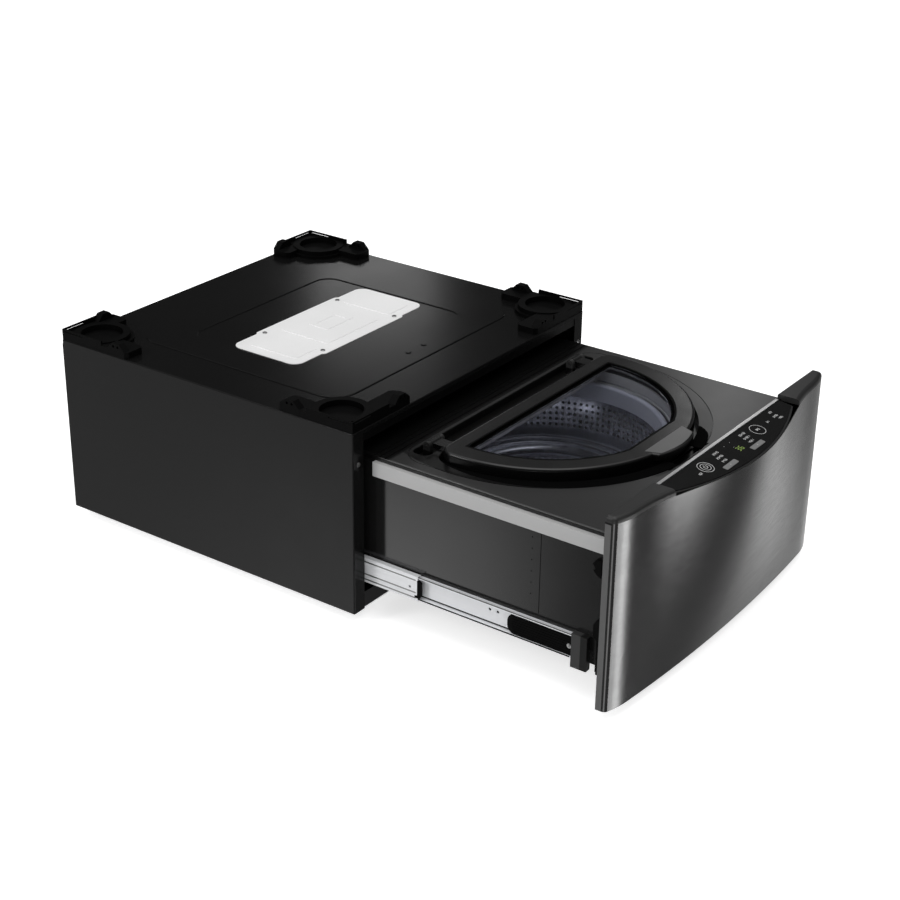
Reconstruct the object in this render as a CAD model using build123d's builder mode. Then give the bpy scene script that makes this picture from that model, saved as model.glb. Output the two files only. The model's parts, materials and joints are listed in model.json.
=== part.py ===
from build123d import *
import os
from math import atan, atan2, cos, degrees, hypot, radians, sin, sqrt

# A pedestal washer: a low steel cabinet that stands under a laundry machine, with a washing
# drawer that runs out of its front on two telescopic slides. Millimetres, +Z up, +Y to the
# rear, +X to the right of someone who faces it. The origin is on the floor under the middle
# of the whole, with the drawer fully open and its lid closed.

# Cabinet
cabinet_width = 686.0
cabinet_depth = 657.0
foot_gap = 18.0
side_height = 322.0
top_band = 8.0
sheet = 1.2
bend = 2.0
front_flange = 27.0
bottom_flange = 18.0
rear_flange = 15.0
rail_depth = 24.0
lower_rail_height = 28.0
upper_rail_height = 14.0
flange_screw_drop = 50.0
pressing_width = 288.0
pressing_height = 200.0

# Top plate and what stands on it
emboss_width = 516.0
emboss_length = 463.0
emboss_corner = 45.0
emboss_rise = 1.5
emboss_front = 97.0
recess_margin = 6.0
recess_length = 325.0
recess_front = 165.0
recess_corner = 30.0
bump_xs = (-20.0, 25.0)
bump_back = 133.0
bump_radius = 5.0
service_width = 368.0
service_length = 150.0
service_front = 250.0
service_middle_width = 234.0
service_middle_length = 160.0
service_sheet = 1.0
service_corner = 20.0
service_opening_width = 194.0
service_opening_length = 100.0
service_screw_x = 103.0
service_screw_y = 67.0
service_pad_x = 132.0
service_pad_width = 60.0
service_pad_length = 110.0
service_middle_pad_width = 150.0
service_pad_corner = 8.0
service_mark_x = 12.0
service_mark_y = 8.0
service_mark_width = 75.0
service_mark_length = 45.0
service_mark_line = 10.0
screw_radius = 2.0
screw_head_radius = 4.2
screw_head_height = 1.8
screw_length = 8.0
screw_clearance = 0.2

# Corner brackets for the feet of the machine above
bracket_width = 44.0
bracket_height = 12.0
bracket_side_arm = 158.0
bracket_front_arm = 158.0
bracket_rear_arm = 121.0
bracket_inset = 1.0
pocket_radius = 37.0
pocket_depth = 10.0
pocket_from_side = 43.0
pocket_from_end = 57.0
pocket_wall = 13.0
pocket_rise = 2.0
pocket_step = 6.0
corner_wall = 3.0
corner_wall_length = 96.0
corner_wall_height = 20.0
hump_length = 40.0
hump_height = 12.0
hump_width = 14.0
hump_from_tip = 26.0
hump_hole_radius = 2.4
hump_hole_offset = 5.0
slot_length = 44.0
arm_chamfer = 6.0

# Levelling feet
foot_inset = 45.0
foot_radius = 19.0
foot_height = 8.0
stud_radius = 5.0
stud_height = 40.0
running_gap = 0.05
nut_radius = 9.0
nut_height = 9.0

# Drawer
drawer_travel = 460.0
drawer_length = 571.0
drawer_rise = 47.0
front_gap = 8.0
nose_depth = 75.0
cover_drop = 47.0
cover_wall = 3.0
cover_skirt = 8.0
cover_overhang = 3.7
cover_grooves = (12.0, 22.0, 33.0)
band_height = 25.0
band_gap = 4.0
band_front_gap = 8.0
band_rear_gap = 15.0

# Telescopic slides
slide_rise = 47.0
slide_height = 49.0
slide_depth = 13.7
slide_side_gap = 2.0
slide_sheet = 1.2
slide_gap = 0.5
slide_lip = 2.4
slide_length = 500.0
slide_overlap = 107.0
middle_length = 357.0
slide_setback = 61.0
slide_spacer_length = 50.0
middle_hole_inset = 16.0
middle_hole_radius = 2.2
inner_hole_inset = 151.0
inner_hole_spacing = 15.4
inner_hole_rise = 6.0
inner_hole_radius = 2.6
end_bracket_length = 67.0
end_bracket_block = 28.5
end_bracket_drop = 11.0
end_bracket_strut = 9.0
slide_cover_length = 120.0
slide_cover_depth = 7.5

# Front assembly
frame_depth = 10.5
frame_sheet = 2.0
shell_wall = 1.5
shell_drop = 6.0
end_depth = 23.5
sagitta = 18.0
swell_half = 270.0
turn_reach = 44.0
turn_drop = 7.0
lens_radius = 520.0
face_steps = 48
shell_corner = 8.5
end_block_height = 10.0
end_block_roll = 7.5
strip_half = 207.0
strip_drop = 2.0
strip_slope = 0.147
strip_setback = 6.5

# Control strip
panel_half = 197.0
panel_thickness = 3.0
panel_gap = 0.3
panel_margin = 6.0
housing_rim = 3.5
housing_depth = 16.0
housing_wall = 2.0
panel_ledge = 4.0
strip_gap = 1.0
trim_overhang = 3.0
housing_flange = 5.0
housing_inset = 1.5
housing_tab_x = 150.0
housing_tab_width = 20.0
board_down = 12.0
board_thickness = 1.6
board_half = 125.0
board_rear_down = 12.0
board_post_x = 115.0
board_gap = 1.0
switch_radius = 3.0
switch_gap = 0.2
round_key_radius = 12.0
bar_key_width = 38.0
bar_key_length = 9.5
bar_key_corner = 2.0
key_gap = 0.4
key_rise = 0.3
key_depth = 7.0
key_travel = 0.8
round_key_down = 23.5
bar_key_down = 47.0
power_x = -95.5
start_x = 78.0
left_key_x = -56.5
right_key_x = 33.5

# Washing unit, measured down from the top of the tub cover
basket_radius = 205.0
basket_sheet = 1.2
drum_setback = 320.0
opening_gap = 5.0
moat_width = 50.0
moat_depth = 15.0
moat_centre_offset = 8.0
moat_rear_offset = 55.0
moat_corner_gap = 7.0
ring_width = 24.0
groove_width = 1.5
groove_depth = 1.5
lid_gap = 4.0
tub_gap = 24.0
tub_wall = 3.0
tub_top_drop = 21.0
tub_bottom_drop = 175.0
gasket_width = 14.0
balance_top_drop = 20.0
balance_bottom_drop = 51.0
balance_width = 11.0
basket_floor_drop = 159.0
pulsator_gap = 17.0
pulsator_top_drop = 123.0
dish = 4.0
vane_count = 6
vane_inner = 52.0
vane_outer = 150.0
vane_height = 14.0
hub_radius = 60.0
hub_hole_radius = 40.0
hub_thickness = 6.0
hollow_shaft_radius = 14.0
shaft_radius = 9.0
bearing_radius = 45.0
bearing_drop = 209.0
rotor_radius = 118.0
rotor_wall = 3.0
rotor_drop = 217.0
rotor_height = 40.0
stator_radius = 113.0
stator_height = 28.0
rod_radius = 4.0
rod_side_gap = 35.3
rod_y = 190.0
rod_gap = 0.5
lug_drop = 165.0
lug_thickness = 12.0
lug_width = 44.0
cup_radius = 16.0
cup_height = 30.0
hanger_drop = 33.0
pump_x = 100.0
pump_rise = 33.0
pump_radius = 26.0
pump_length = 60.0
pump_rear_gap = 53.0
hose_radius = 14.0

# Lid
lid_corner = 25.0
lid_wall = 3.0
lid_top = 4.0
lid_rise = 18.5
lid_round = 5.0
lid_rear_gap = 10.0
window_margin = 39.0
window_thickness = 4.0
window_sink = 2.5
window_ledge = 6.0
window_front = 199.0
window_rear = 14.0
window_corner = 6.0
handle_rear_half = 65.0
handle_front_half = 55.0
handle_rear = 218.0
handle_side = 247.0
handle_nose = 260.0
handle_thickness = 11.5
pad_depth = 0.8
pad_rise = 0.4
hinge_x = 215.0
hinge_arm_width = 24.0
hinge_arm_height = 7.5
hinge_boss_radius = 7.0
hinge_pin_radius = 3.0
hinge_lug_width = 8.0
hinge_lug_gap = 0.5
hinge_rise = 6.0
handle_grow = 1.0
trench_width = 33.0
trench_depth = 14.0
trench_half = 258.0
trench_lip = 10.0
ring_rear_gap = 8.0
ring_corner = 45.0
scoop_half = 65.0
scoop_length = 24.0

# Rear fittings
fitting_reach = 24.0
nipple_radius = 13.2
nipple_bore = 8.0
nipple_spacing = 60.0
nipple_inset = 143.0
nipple_height = 250.0
outlet_radius = 11.0
outlet_bore = 8.5
outlet_inset = 58.0
outlet_height = 70.0
gland_radius = 10.0
gland_bore = 4.0
gland_inset = 63.0
gland_height = 250.0
fitting_hole_gap = 1.0

# Counterweight
weight_width = 500.0
weight_depth = 60.0
weight_height = 150.0
weight_gap = 12.0
weight_corner = 8.0

# Places that follow from the sizes
half_width = cabinet_width / 2
nipple_x = -half_width + nipple_inset
outlet_x = half_width - outlet_inset
gland_x = half_width - gland_inset
front_plane = (drawer_travel + front_gap + nose_depth - cabinet_depth - fitting_reach) / 2
rear_plane = front_plane + cabinet_depth
cabinet_middle = (front_plane + rear_plane) / 2
cabinet_bottom = foot_gap
side_top = cabinet_bottom + side_height
top_face = side_top + top_band
flange_screw_z = side_top - flange_screw_drop
drawer_front = front_plane - front_gap - drawer_travel
drawer_rear = drawer_front + drawer_length
drawer_low = cabinet_bottom + drawer_rise
cover_top = top_face - cover_drop
drawer_high = cover_top - cover_skirt
slide_face = half_width - front_flange - slide_side_gap
drawer_half = slide_face - slide_depth
rod_x = drawer_half - rod_side_gap
cover_half = drawer_half + cover_overhang
band_half = half_width - front_flange - band_gap
slide_low = cabinet_bottom + slide_rise
slide_high = slide_low + slide_height
drum_y = drawer_front + drum_setback
opening_radius = basket_radius + opening_gap
moat_radius = opening_radius + moat_width
ring_radius = moat_radius + ring_width
ring_groove_radius = ring_radius - groove_width
lid_radius = moat_radius - lid_gap
moat_centre = drum_y + moat_centre_offset
moat_rear = drum_y + moat_rear_offset
moat_corner = lid_corner + moat_corner_gap
lid_centre = moat_centre + lid_gap
lid_rear = moat_rear - lid_rear_gap
trench_front = moat_rear + trench_lip
trench_rear = trench_front + trench_width
ring_rear = trench_rear + ring_rear_gap
opening_rear = lid_rear - lid_wall - 2 * opening_gap
lid_low = cover_top - moat_depth + lid_gap
lid_high = cover_top + lid_rise
hinge_y = trench_front + trench_width / 2
hinge_z = cover_top + hinge_rise
tub_radius = basket_radius + tub_gap + tub_wall
pulsator_radius = basket_radius - pulsator_gap
tub_top = cover_top - tub_top_drop
tub_bottom = cover_top - tub_bottom_drop
recess_width = service_width + 2 * recess_margin
strip_top = top_face - strip_drop
shell_top = top_face - shell_drop
frame_front = drawer_front - frame_depth
sides = (("left", -1), ("right", 1))
ends = ("front", "rear")

os.makedirs("parts", exist_ok=True)


def keep(builder, name):
    """Name a finished piece and write it."""
    builder.part.label = name
    export_step(builder.part, f"parts/{name}.step")


def across(y):
    """The upright plane at this distance along Y; it faces the front."""
    return Plane.XZ.offset(-y)


def slab(x_one, x_two, y_one, y_two, mode=Mode.ADD):
    """A rectangle between two opposite corners."""
    with Locations(((x_one + x_two) / 2, (y_one + y_two) / 2)):
        Rectangle(abs(x_two - x_one), abs(y_two - y_one), mode=mode)


def block(x_one, x_two, y_one, y_two, z_one, z_two, mode=Mode.ADD):
    """A box between two opposite corners."""
    with Locations(((x_one + x_two) / 2, (y_one + y_two) / 2, (z_one + z_two) / 2)):
        Box(abs(x_two - x_one), abs(y_two - y_one), abs(z_two - z_one), mode=mode)


def disc(x, y, z_low, z_high, radius, mode=Mode.ADD):
    """An upright round solid."""
    with Locations((x, y, (z_low + z_high) / 2)):
        Cylinder(radius, z_high - z_low, mode=mode)


def rod_along_y(x, z, y_low, y_high, radius, mode=Mode.ADD):
    """A round solid that lies along Y."""
    with Locations(Location((x, (y_low + y_high) / 2, z), (90, 0, 0))):
        Cylinder(radius, y_high - y_low, mode=mode)


def rod_along_x(y, z, x_low, x_high, radius, mode=Mode.ADD):
    """A round solid that lies along X."""
    with Locations(Location(((x_low + x_high) / 2, y, z), (0, 90, 0))):
        Cylinder(radius, abs(x_high - x_low), mode=mode)


# Cabinet: side panels, folded along the front and the bottom
for side, sign in sides:
    with BuildPart() as side_panel:
        with BuildSketch(Plane.XY.offset(cabinet_bottom)) as side_plan:
            slab(sign * half_width, sign * (half_width - sheet), front_plane, rear_plane)
            slab(sign * half_width, sign * (half_width - front_flange), front_plane, front_plane + sheet)
            outer_corner = side_plan.vertices().sort_by_distance((sign * half_width, front_plane, 0))[0]
            fillet(outer_corner, bend)
        extrude(amount=side_height)
        with BuildSketch(Plane.XY.offset(cabinet_bottom)):
            slab(
                sign * (half_width - sheet),
                sign * (half_width - bottom_flange),
                front_plane + sheet,
                rear_plane - sheet,
            )
        extrude(amount=sheet)
        screw_x = sign * (half_width - front_flange / 2)
        rod_along_y(
            screw_x,
            flange_screw_z,
            front_plane,
            front_plane + sheet,
            screw_radius + screw_clearance,
            mode=Mode.SUBTRACT,
        )
    keep(side_panel, f"side_panel_{side}")

# Rear panel, with the holes for the water, drain and power fittings
rear_inner = rear_plane - sheet
rear_half = half_width - sheet
nipple_xs = (nipple_x - nipple_spacing / 2, nipple_x + nipple_spacing / 2)
nipple_z = cabinet_bottom + nipple_height
outlet_z = cabinet_bottom + outlet_height
gland_z = cabinet_bottom + gland_height
with BuildPart() as rear_panel:
    block(-rear_half, rear_half, rear_inner, rear_plane, cabinet_bottom, side_top)
    for side, sign in sides:
        block(
            sign * rear_half,
            sign * (rear_half - sheet),
            rear_inner - rear_flange,
            rear_inner,
            cabinet_bottom + 2 * sheet,
            side_top,
        )
    with BuildSketch(across(rear_plane)):
        with Locations((0, (cabinet_bottom + side_top) / 2)):
            RectangleRounded(pressing_width, pressing_height, recess_corner)
    extrude(amount=-emboss_rise)
    for x in nipple_xs:
        rod_along_y(
            x, nipple_z, rear_inner, rear_plane, nipple_radius + fitting_hole_gap, mode=Mode.SUBTRACT
        )
    rod_along_y(
        outlet_x, outlet_z, rear_inner, rear_plane, outlet_radius + fitting_hole_gap, mode=Mode.SUBTRACT
    )
    rod_along_y(gland_x, gland_z, rear_inner, rear_plane, gland_radius, mode=Mode.SUBTRACT)
keep(rear_panel, "rear_panel")

# Base plate, with a weld nut over each foot
base_low = cabinet_bottom + sheet
base_high = base_low + sheet
foot_x = half_width - foot_inset
foot_ys = {"front": front_plane + foot_inset, "rear": rear_plane - foot_inset}
with BuildPart() as base_plate:
    block(-rear_half, rear_half, front_plane + sheet, rear_inner, base_low, base_high)
    for end in ends:
        for side, sign in sides:
            disc(sign * foot_x, foot_ys[end], base_high, base_high + nut_height, nut_radius)
            disc(
                sign * foot_x,
                foot_ys[end],
                base_low,
                base_high + nut_height,
                stud_radius + running_gap,
                mode=Mode.SUBTRACT,
            )
keep(base_plate, "base_plate")

# Levelling feet: a round pad, a hexagon for the spanner and a stud in the weld nut
for end in ends:
    for side, sign in sides:
        with BuildPart() as foot:
            disc(sign * foot_x, foot_ys[end], 0.0, foot_height, foot_radius)
            fillet(foot.edges().filter_by(GeomType.CIRCLE), foot_height / 4)
            with BuildSketch(Plane.XY.offset(foot_height)):
                with Locations((sign * foot_x, foot_ys[end])):
                    RegularPolygon(stud_radius * 1.8, 6)
            extrude(amount=stud_radius)
            disc(sign * foot_x, foot_ys[end], foot_height, stud_height, stud_radius)
        keep(foot, f"foot_{end}_{side}")

# Front rails: a folded channel under the drawer and a narrower one over it
rail_front = front_plane + sheet
with BuildPart() as front_rails:
    block(-rear_half, rear_half, rail_front, rail_front + sheet, base_high, base_high + lower_rail_height)
    block(
        -rear_half,
        rear_half,
        rail_front,
        rail_front + rail_depth,
        base_high + lower_rail_height - sheet,
        base_high + lower_rail_height,
    )
    block(-rear_half, rear_half, rail_front, rail_front + sheet, side_top - upper_rail_height, side_top)
    block(
        -rear_half,
        rear_half,
        rail_front,
        rail_front + rail_depth,
        side_top - upper_rail_height,
        side_top - upper_rail_height + sheet,
    )
    for side, sign in sides:
        rod_along_y(
            sign * (half_width - front_flange / 2),
            flange_screw_z,
            rail_front,
            rail_front + sheet,
            screw_radius + screw_clearance,
            mode=Mode.SUBTRACT,
        )
keep(front_rails, "front_rails")

# Top plate: a folded lid to the cabinet with a raised frame around a recess
service_y = front_plane + service_front + service_length / 2
service_xs = (-service_screw_x, service_screw_x)
service_ys = (service_y - service_screw_y, service_y + service_screw_y)
service_screws = [(x, y) for x in service_xs for y in service_ys]
with BuildPart() as top_plate:
    with BuildSketch(Plane.XY.offset(side_top)):
        with Locations((0, cabinet_middle)):
            RectangleRounded(cabinet_width, cabinet_depth, bend)
    extrude(amount=top_band)
    with BuildSketch(Plane.XY.offset(side_top)):
        with Locations((0, cabinet_middle)):
            Rectangle(cabinet_width - 2 * sheet, cabinet_depth - 2 * sheet)
    extrude(amount=top_band - sheet, mode=Mode.SUBTRACT)
    fillet(top_plate.faces().sort_by(Axis.Z)[-1].outer_wire().edges(), bend)
    with BuildSketch(Plane.XY.offset(top_face)):
        with Locations((0, front_plane + emboss_front + emboss_length / 2)):
            RectangleRounded(emboss_width, emboss_length, emboss_corner)
        with Locations((0, front_plane + recess_front + recess_length / 2)):
            RectangleRounded(recess_width, recess_length, recess_corner, mode=Mode.SUBTRACT)
    extrude(amount=emboss_rise)
    raised_edges = top_plate.faces().sort_by(Axis.Z)[-1].edges()
    fillet(raised_edges, emboss_rise * 0.8)
    for x in bump_xs:
        disc(x, front_plane + bump_back, top_face, top_face + 2 * emboss_rise, bump_radius)
    bump_edges = top_plate.faces().sort_by(Axis.Z)[-2:].edges()
    fillet(bump_edges, emboss_rise * 0.8)
    with Locations((0, service_y, side_top + top_band / 2)):
        Box(service_opening_width, service_opening_length, top_band, mode=Mode.SUBTRACT)
    for x, y in service_screws:
        disc(x, y, side_top, top_face, screw_radius + screw_clearance, mode=Mode.SUBTRACT)
keep(top_plate, "top_plate")

# Service plate: white pressed sheet over the opening in the top
service_high = top_face + service_sheet
with BuildPart() as service_plate:
    with BuildSketch(Plane.XY.offset(top_face)):
        with Locations((0, service_y)):
            RectangleRounded(service_width, service_length, service_corner)
            RectangleRounded(service_middle_width, service_middle_length, service_corner / 2)
    extrude(amount=service_sheet)
    with BuildSketch(Plane.XY.offset(service_high)):
        with Locations((-service_pad_x, service_y), (service_pad_x, service_y)):
            RectangleRounded(service_pad_width, service_pad_length, service_pad_corner)
        with Locations((0, service_y)):
            RectangleRounded(service_middle_pad_width, service_pad_length, service_pad_corner)
    extrude(amount=service_sheet, taper=20)
    with BuildSketch(Plane.XY.offset(service_high + service_sheet)):
        with Locations((service_mark_x, service_y + service_mark_y)):
            RectangleRounded(service_mark_width, service_mark_length, service_pad_corner / 2)
            RectangleRounded(
                service_mark_width - 2 * service_mark_line,
                service_mark_length - 2 * service_mark_line,
                service_pad_corner / 2,
                mode=Mode.SUBTRACT,
            )
    extrude(amount=service_sheet, taper=20)
    for x, y in service_screws:
        disc(x, y, top_face, service_high, screw_radius + screw_clearance, mode=Mode.SUBTRACT)
keep(service_plate, "service_plate")

# Screws of the cabinet: four in the service plate, one in each front flange
with BuildPart() as cabinet_screws:
    for x, y in service_screws:
        disc(x, y, service_high - screw_length, service_high, screw_radius)
        disc(x, y, service_high, service_high + screw_head_height, screw_head_radius)
    for side, sign in sides:
        flange_x = sign * (half_width - front_flange / 2)
        rod_along_y(flange_x, flange_screw_z, front_plane, front_plane + screw_length, screw_radius)
        rod_along_y(
            flange_x, flange_screw_z, front_plane - screw_head_height, front_plane, screw_head_radius
        )
keep(cabinet_screws, "cabinet_screws")


def hump(centre_x, centre_y, along_x, base):
    """The ribbed hump at an arm's end, pierced by two holes that run across the edge."""
    if along_x:
        lie = across(centre_y + hump_width / 2)
        middle = centre_x
    else:
        lie = Plane.YZ.offset(centre_x - hump_width / 2)
        middle = centre_y
    height = base + hump_height / 2
    with BuildPart() as form:
        with BuildSketch(lie):
            with Locations((middle, height)):
                Trapezoid(hump_length, hump_height, 45)
            with Locations((middle - hump_hole_offset, height), (middle + hump_hole_offset, height)):
                Circle(hump_hole_radius, mode=Mode.SUBTRACT)
        extrude(amount=hump_width)
    return form.part


def corner_bracket(end_arm):
    """The rear right bracket, with an arm of this length along the rear edge."""
    edge_x = half_width - bracket_inset
    edge_y = rear_plane - bracket_inset
    arm_x = half_width - end_arm
    arm_y = rear_plane - bracket_side_arm
    pocket = (half_width - pocket_from_side, rear_plane - pocket_from_end)
    pad_top = top_face + bracket_height
    ring_top = pad_top + pocket_rise
    ring_radius = pocket_radius + pocket_wall
    wall_top = top_face + corner_wall_height
    slot_low = ring_top + corner_wall / 3
    slot_high = wall_top - corner_wall
    slot_start = 2 * corner_wall
    slot_end = slot_start + slot_length
    hump_in = bracket_inset + hump_width / 2
    with BuildPart() as form:
        with BuildSketch(Plane.XY.offset(top_face)):
            slab(edge_x, arm_x, edge_y, rear_plane - bracket_width)
            slab(edge_x, half_width - bracket_width, edge_y, arm_y)
        extrude(amount=bracket_height)
        upright = form.edges().filter_by(Axis.Z)
        tips = [edge for edge in upright if edge.center().X < arm_x + 1 or edge.center().Y < arm_y + 1]
        chamfer(tips, arm_chamfer)
        with BuildSketch(Plane.XY.offset(top_face)):
            with Locations(pocket):
                Circle(ring_radius + pocket_step)
            slab(edge_x, arm_x, edge_y, arm_y, mode=Mode.INTERSECT)
        extrude(amount=bracket_height / 2)
        with BuildSketch(Plane.XY.offset(top_face)):
            with Locations(pocket):
                Circle(ring_radius)
            slab(edge_x, arm_x, edge_y, arm_y, mode=Mode.INTERSECT)
        extrude(amount=bracket_height + pocket_rise)
        block(edge_x, edge_x - corner_wall_length, edge_y, edge_y - corner_wall, top_face, wall_top)
        block(edge_x, edge_x - corner_wall, edge_y, edge_y - corner_wall_length, top_face, wall_top)
        disc(*pocket, ring_top - pocket_depth, wall_top, pocket_radius, mode=Mode.SUBTRACT)
        block(
            edge_x - slot_start,
            edge_x - slot_end,
            edge_y,
            edge_y - corner_wall,
            slot_low,
            slot_high,
            mode=Mode.SUBTRACT,
        )
        block(
            edge_x,
            edge_x - corner_wall,
            edge_y - slot_start,
            edge_y - slot_end,
            slot_low,
            slot_high,
            mode=Mode.SUBTRACT,
        )
        add(hump(arm_x + hump_from_tip, rear_plane - hump_in, True, pad_top))
        add(hump(half_width - hump_in, arm_y + hump_from_tip, False, pad_top))
    return form.part


for end in ends:
    for side, sign in sides:
        with BuildPart() as bracket:
            add(corner_bracket(bracket_rear_arm if end == "rear" else bracket_front_arm))
            if side == "left":
                mirror(about=Plane.YZ, mode=Mode.REPLACE)
            if end == "front":
                mirror(about=across(cabinet_middle), mode=Mode.REPLACE)
        keep(bracket, f"corner_bracket_{end}_{side}")

# Counterweight: a cast block on the base plate at the rear
with BuildPart() as counterweight:
    weight_rear = rear_inner - weight_gap
    block(
        -weight_width / 2,
        weight_width / 2,
        weight_rear - weight_depth,
        weight_rear,
        base_high,
        base_high + weight_height,
    )
    fillet(counterweight.edges().filter_by(Axis.Z), weight_corner)
keep(counterweight, "counterweight")

# Water valve with its two threaded nipples through the rear panel
with BuildPart() as inlet_valve:
    block(
        nipple_x - nipple_spacing,
        nipple_x + nipple_spacing,
        rear_inner - 2 * nipple_radius,
        rear_inner,
        nipple_z - 1.5 * nipple_radius,
        nipple_z + 1.5 * nipple_radius,
    )
    for x in nipple_xs:
        rod_along_y(x, nipple_z, rear_inner, rear_plane + fitting_reach, nipple_radius)
        rod_along_y(
            x,
            nipple_z,
            rear_inner - nipple_radius,
            rear_plane + fitting_reach,
            nipple_bore,
            mode=Mode.SUBTRACT,
        )
keep(inlet_valve, "inlet_valve")

# Drain outlet: a flanged spigot
with BuildPart() as drain_outlet:
    rod_along_y(outlet_x, outlet_z, rear_inner - fitting_reach, rear_plane + fitting_reach, outlet_radius)
    rod_along_y(outlet_x, outlet_z, rear_inner - 4 * sheet, rear_inner, 2 * outlet_radius)
    rod_along_y(
        outlet_x,
        outlet_z,
        rear_inner - fitting_reach,
        rear_plane + fitting_reach,
        outlet_bore,
        mode=Mode.SUBTRACT,
    )
keep(drain_outlet, "drain_outlet")

# Power inlet: an empty gland bush in the rear panel
with BuildPart() as power_inlet:
    rod_along_y(gland_x, gland_z, rear_inner - gland_radius, rear_plane, gland_radius - running_gap)
    rod_along_y(gland_x, gland_z, rear_plane, rear_plane + gland_radius / 2, gland_radius * 1.4)
    rod_along_y(
        gland_x,
        gland_z,
        rear_inner - gland_radius,
        rear_plane + gland_radius / 2,
        gland_bore,
        mode=Mode.SUBTRACT,
    )
keep(power_inlet, "power_inlet")

# Telescopic slides: three nested channels on each side
slide_middle = (slide_low + slide_high) / 2
outer_lip = drawer_half + slide_sheet + slide_gap
middle_lip = outer_lip + slide_sheet + slide_gap
middle_face = slide_face - slide_sheet - slide_gap
inner_reach = middle_face - slide_sheet - slide_gap


def mirrored_slab(x_one, x_two, z_one, z_two, sign):
    """A slab of a slide's section and its like in the other half of the height."""
    slab(sign * x_one, sign * x_two, z_one, z_two)
    slab(sign * x_one, sign * x_two, 2 * slide_middle - z_one, 2 * slide_middle - z_two)


def channel(lip_x, face_x, flange_z, lip_height, sign):
    """A channel that opens towards the drawer, with its edges turned in."""
    mirrored_slab(lip_x, face_x, flange_z, flange_z + slide_sheet, sign)
    mirrored_slab(lip_x, lip_x + slide_sheet, flange_z, flange_z + slide_sheet + lip_height, sign)
    slab(sign * face_x, sign * (face_x - slide_sheet), flange_z, 2 * slide_middle - flange_z)


outer_rear = front_plane + slide_setback + slide_length
with BuildPart() as slide_outer_members:
    for side, sign in sides:
        with BuildSketch(across(outer_rear)):
            channel(outer_lip, slide_face, slide_low, slide_lip, sign)
        extrude(amount=slide_length)
keep(slide_outer_members, "slide_outer_members")

middle_flange = slide_low + slide_sheet + slide_gap
middle_lip_height = slide_lip * 0.6
middle_rear = front_plane - slide_overlap + middle_length
with BuildPart() as slide_middle_members:
    for side, sign in sides:
        with BuildSketch(across(middle_rear)):
            channel(middle_lip, middle_face, middle_flange, middle_lip_height, sign)
        extrude(amount=middle_length)
        hole_y = middle_rear - middle_length + middle_hole_inset
        rod_along_x(
            hole_y,
            slide_middle,
            sign * slide_face,
            sign * (middle_face - 2 * slide_sheet),
            middle_hole_radius,
            mode=Mode.SUBTRACT,
        )
keep(slide_middle_members, "slide_middle_members")

inner_flange = middle_flange + slide_sheet + middle_lip_height + slide_gap
inner_hook = middle_flange + slide_sheet + slide_gap
inner_front = drawer_front + end_bracket_length
inner_length = front_plane - inner_front
with BuildPart() as slide_inner_members:
    for side, sign in sides:
        with BuildSketch(across(front_plane)):
            slab(sign * drawer_half, sign * (drawer_half + slide_sheet), slide_low, slide_high)
            mirrored_slab(drawer_half, inner_reach, inner_flange, inner_flange + slide_sheet, sign)
            mirrored_slab(inner_reach - slide_sheet, inner_reach, inner_hook, inner_flange, sign)
        extrude(amount=inner_length)
        for hole_side in (-1, 1):
            rod_along_x(
                inner_front + inner_hole_inset + hole_side * inner_hole_spacing / 2,
                slide_middle + inner_hole_rise,
                sign * drawer_half,
                sign * (drawer_half + slide_sheet),
                inner_hole_radius,
                mode=Mode.SUBTRACT,
            )
keep(slide_inner_members, "slide_inner_members")

# Spacer brackets between the cabinet's sides and the slides
with BuildPart() as slide_brackets:
    for side, sign in sides:
        for spacer_y in (outer_rear - slide_length * 0.9, outer_rear - slide_length * 0.1):
            with BuildSketch(across(spacer_y + slide_spacer_length / 2)):
                slab(sign * slide_face, sign * rear_half, slide_low, slide_high)
                slab(
                    sign * (slide_face + bend),
                    sign * (rear_half - bend),
                    slide_low + bend,
                    slide_high - bend,
                    mode=Mode.SUBTRACT,
                )
            extrude(amount=slide_spacer_length)
keep(slide_brackets, "slide_brackets")

# Plastic covers in the drawer members, rounded at their rear end
cover_x = drawer_half + slide_sheet
cover_low = inner_flange + slide_sheet + slide_gap
cover_high = 2 * slide_middle - cover_low
with BuildPart() as slide_covers:
    for side, sign in sides:
        block(
            sign * cover_x,
            sign * (cover_x + slide_cover_depth),
            inner_front,
            inner_front + slide_cover_length,
            cover_low,
            cover_high,
        )
    cover_tips = slide_covers.edges().filter_by(Axis.X).group_by(Axis.Y)[-1]
    fillet(cover_tips, (cover_high - cover_low) * 0.4)
keep(slide_covers, "slide_covers")

# Brackets that tie the slides to the front
end_block_rear = inner_front - slide_gap
end_block_front = end_block_rear - end_bracket_block
end_bracket_low = slide_low - end_bracket_drop
strut_front = (drawer_front + end_block_front) / 2
with BuildPart() as slide_end_brackets:
    for side, sign in sides:
        inner_x = sign * drawer_half
        arm_x = sign * (drawer_half + bend)
        block(
            inner_x,
            sign * (slide_face - slide_side_gap),
            end_block_front,
            end_block_rear,
            end_bracket_low,
            slide_high,
        )
        block(inner_x, arm_x, drawer_front, end_block_front, slide_middle, slide_high)
        block(inner_x, arm_x, strut_front, strut_front + end_bracket_strut, end_bracket_low, slide_middle)
keep(slide_end_brackets, "slide_end_brackets")

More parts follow.
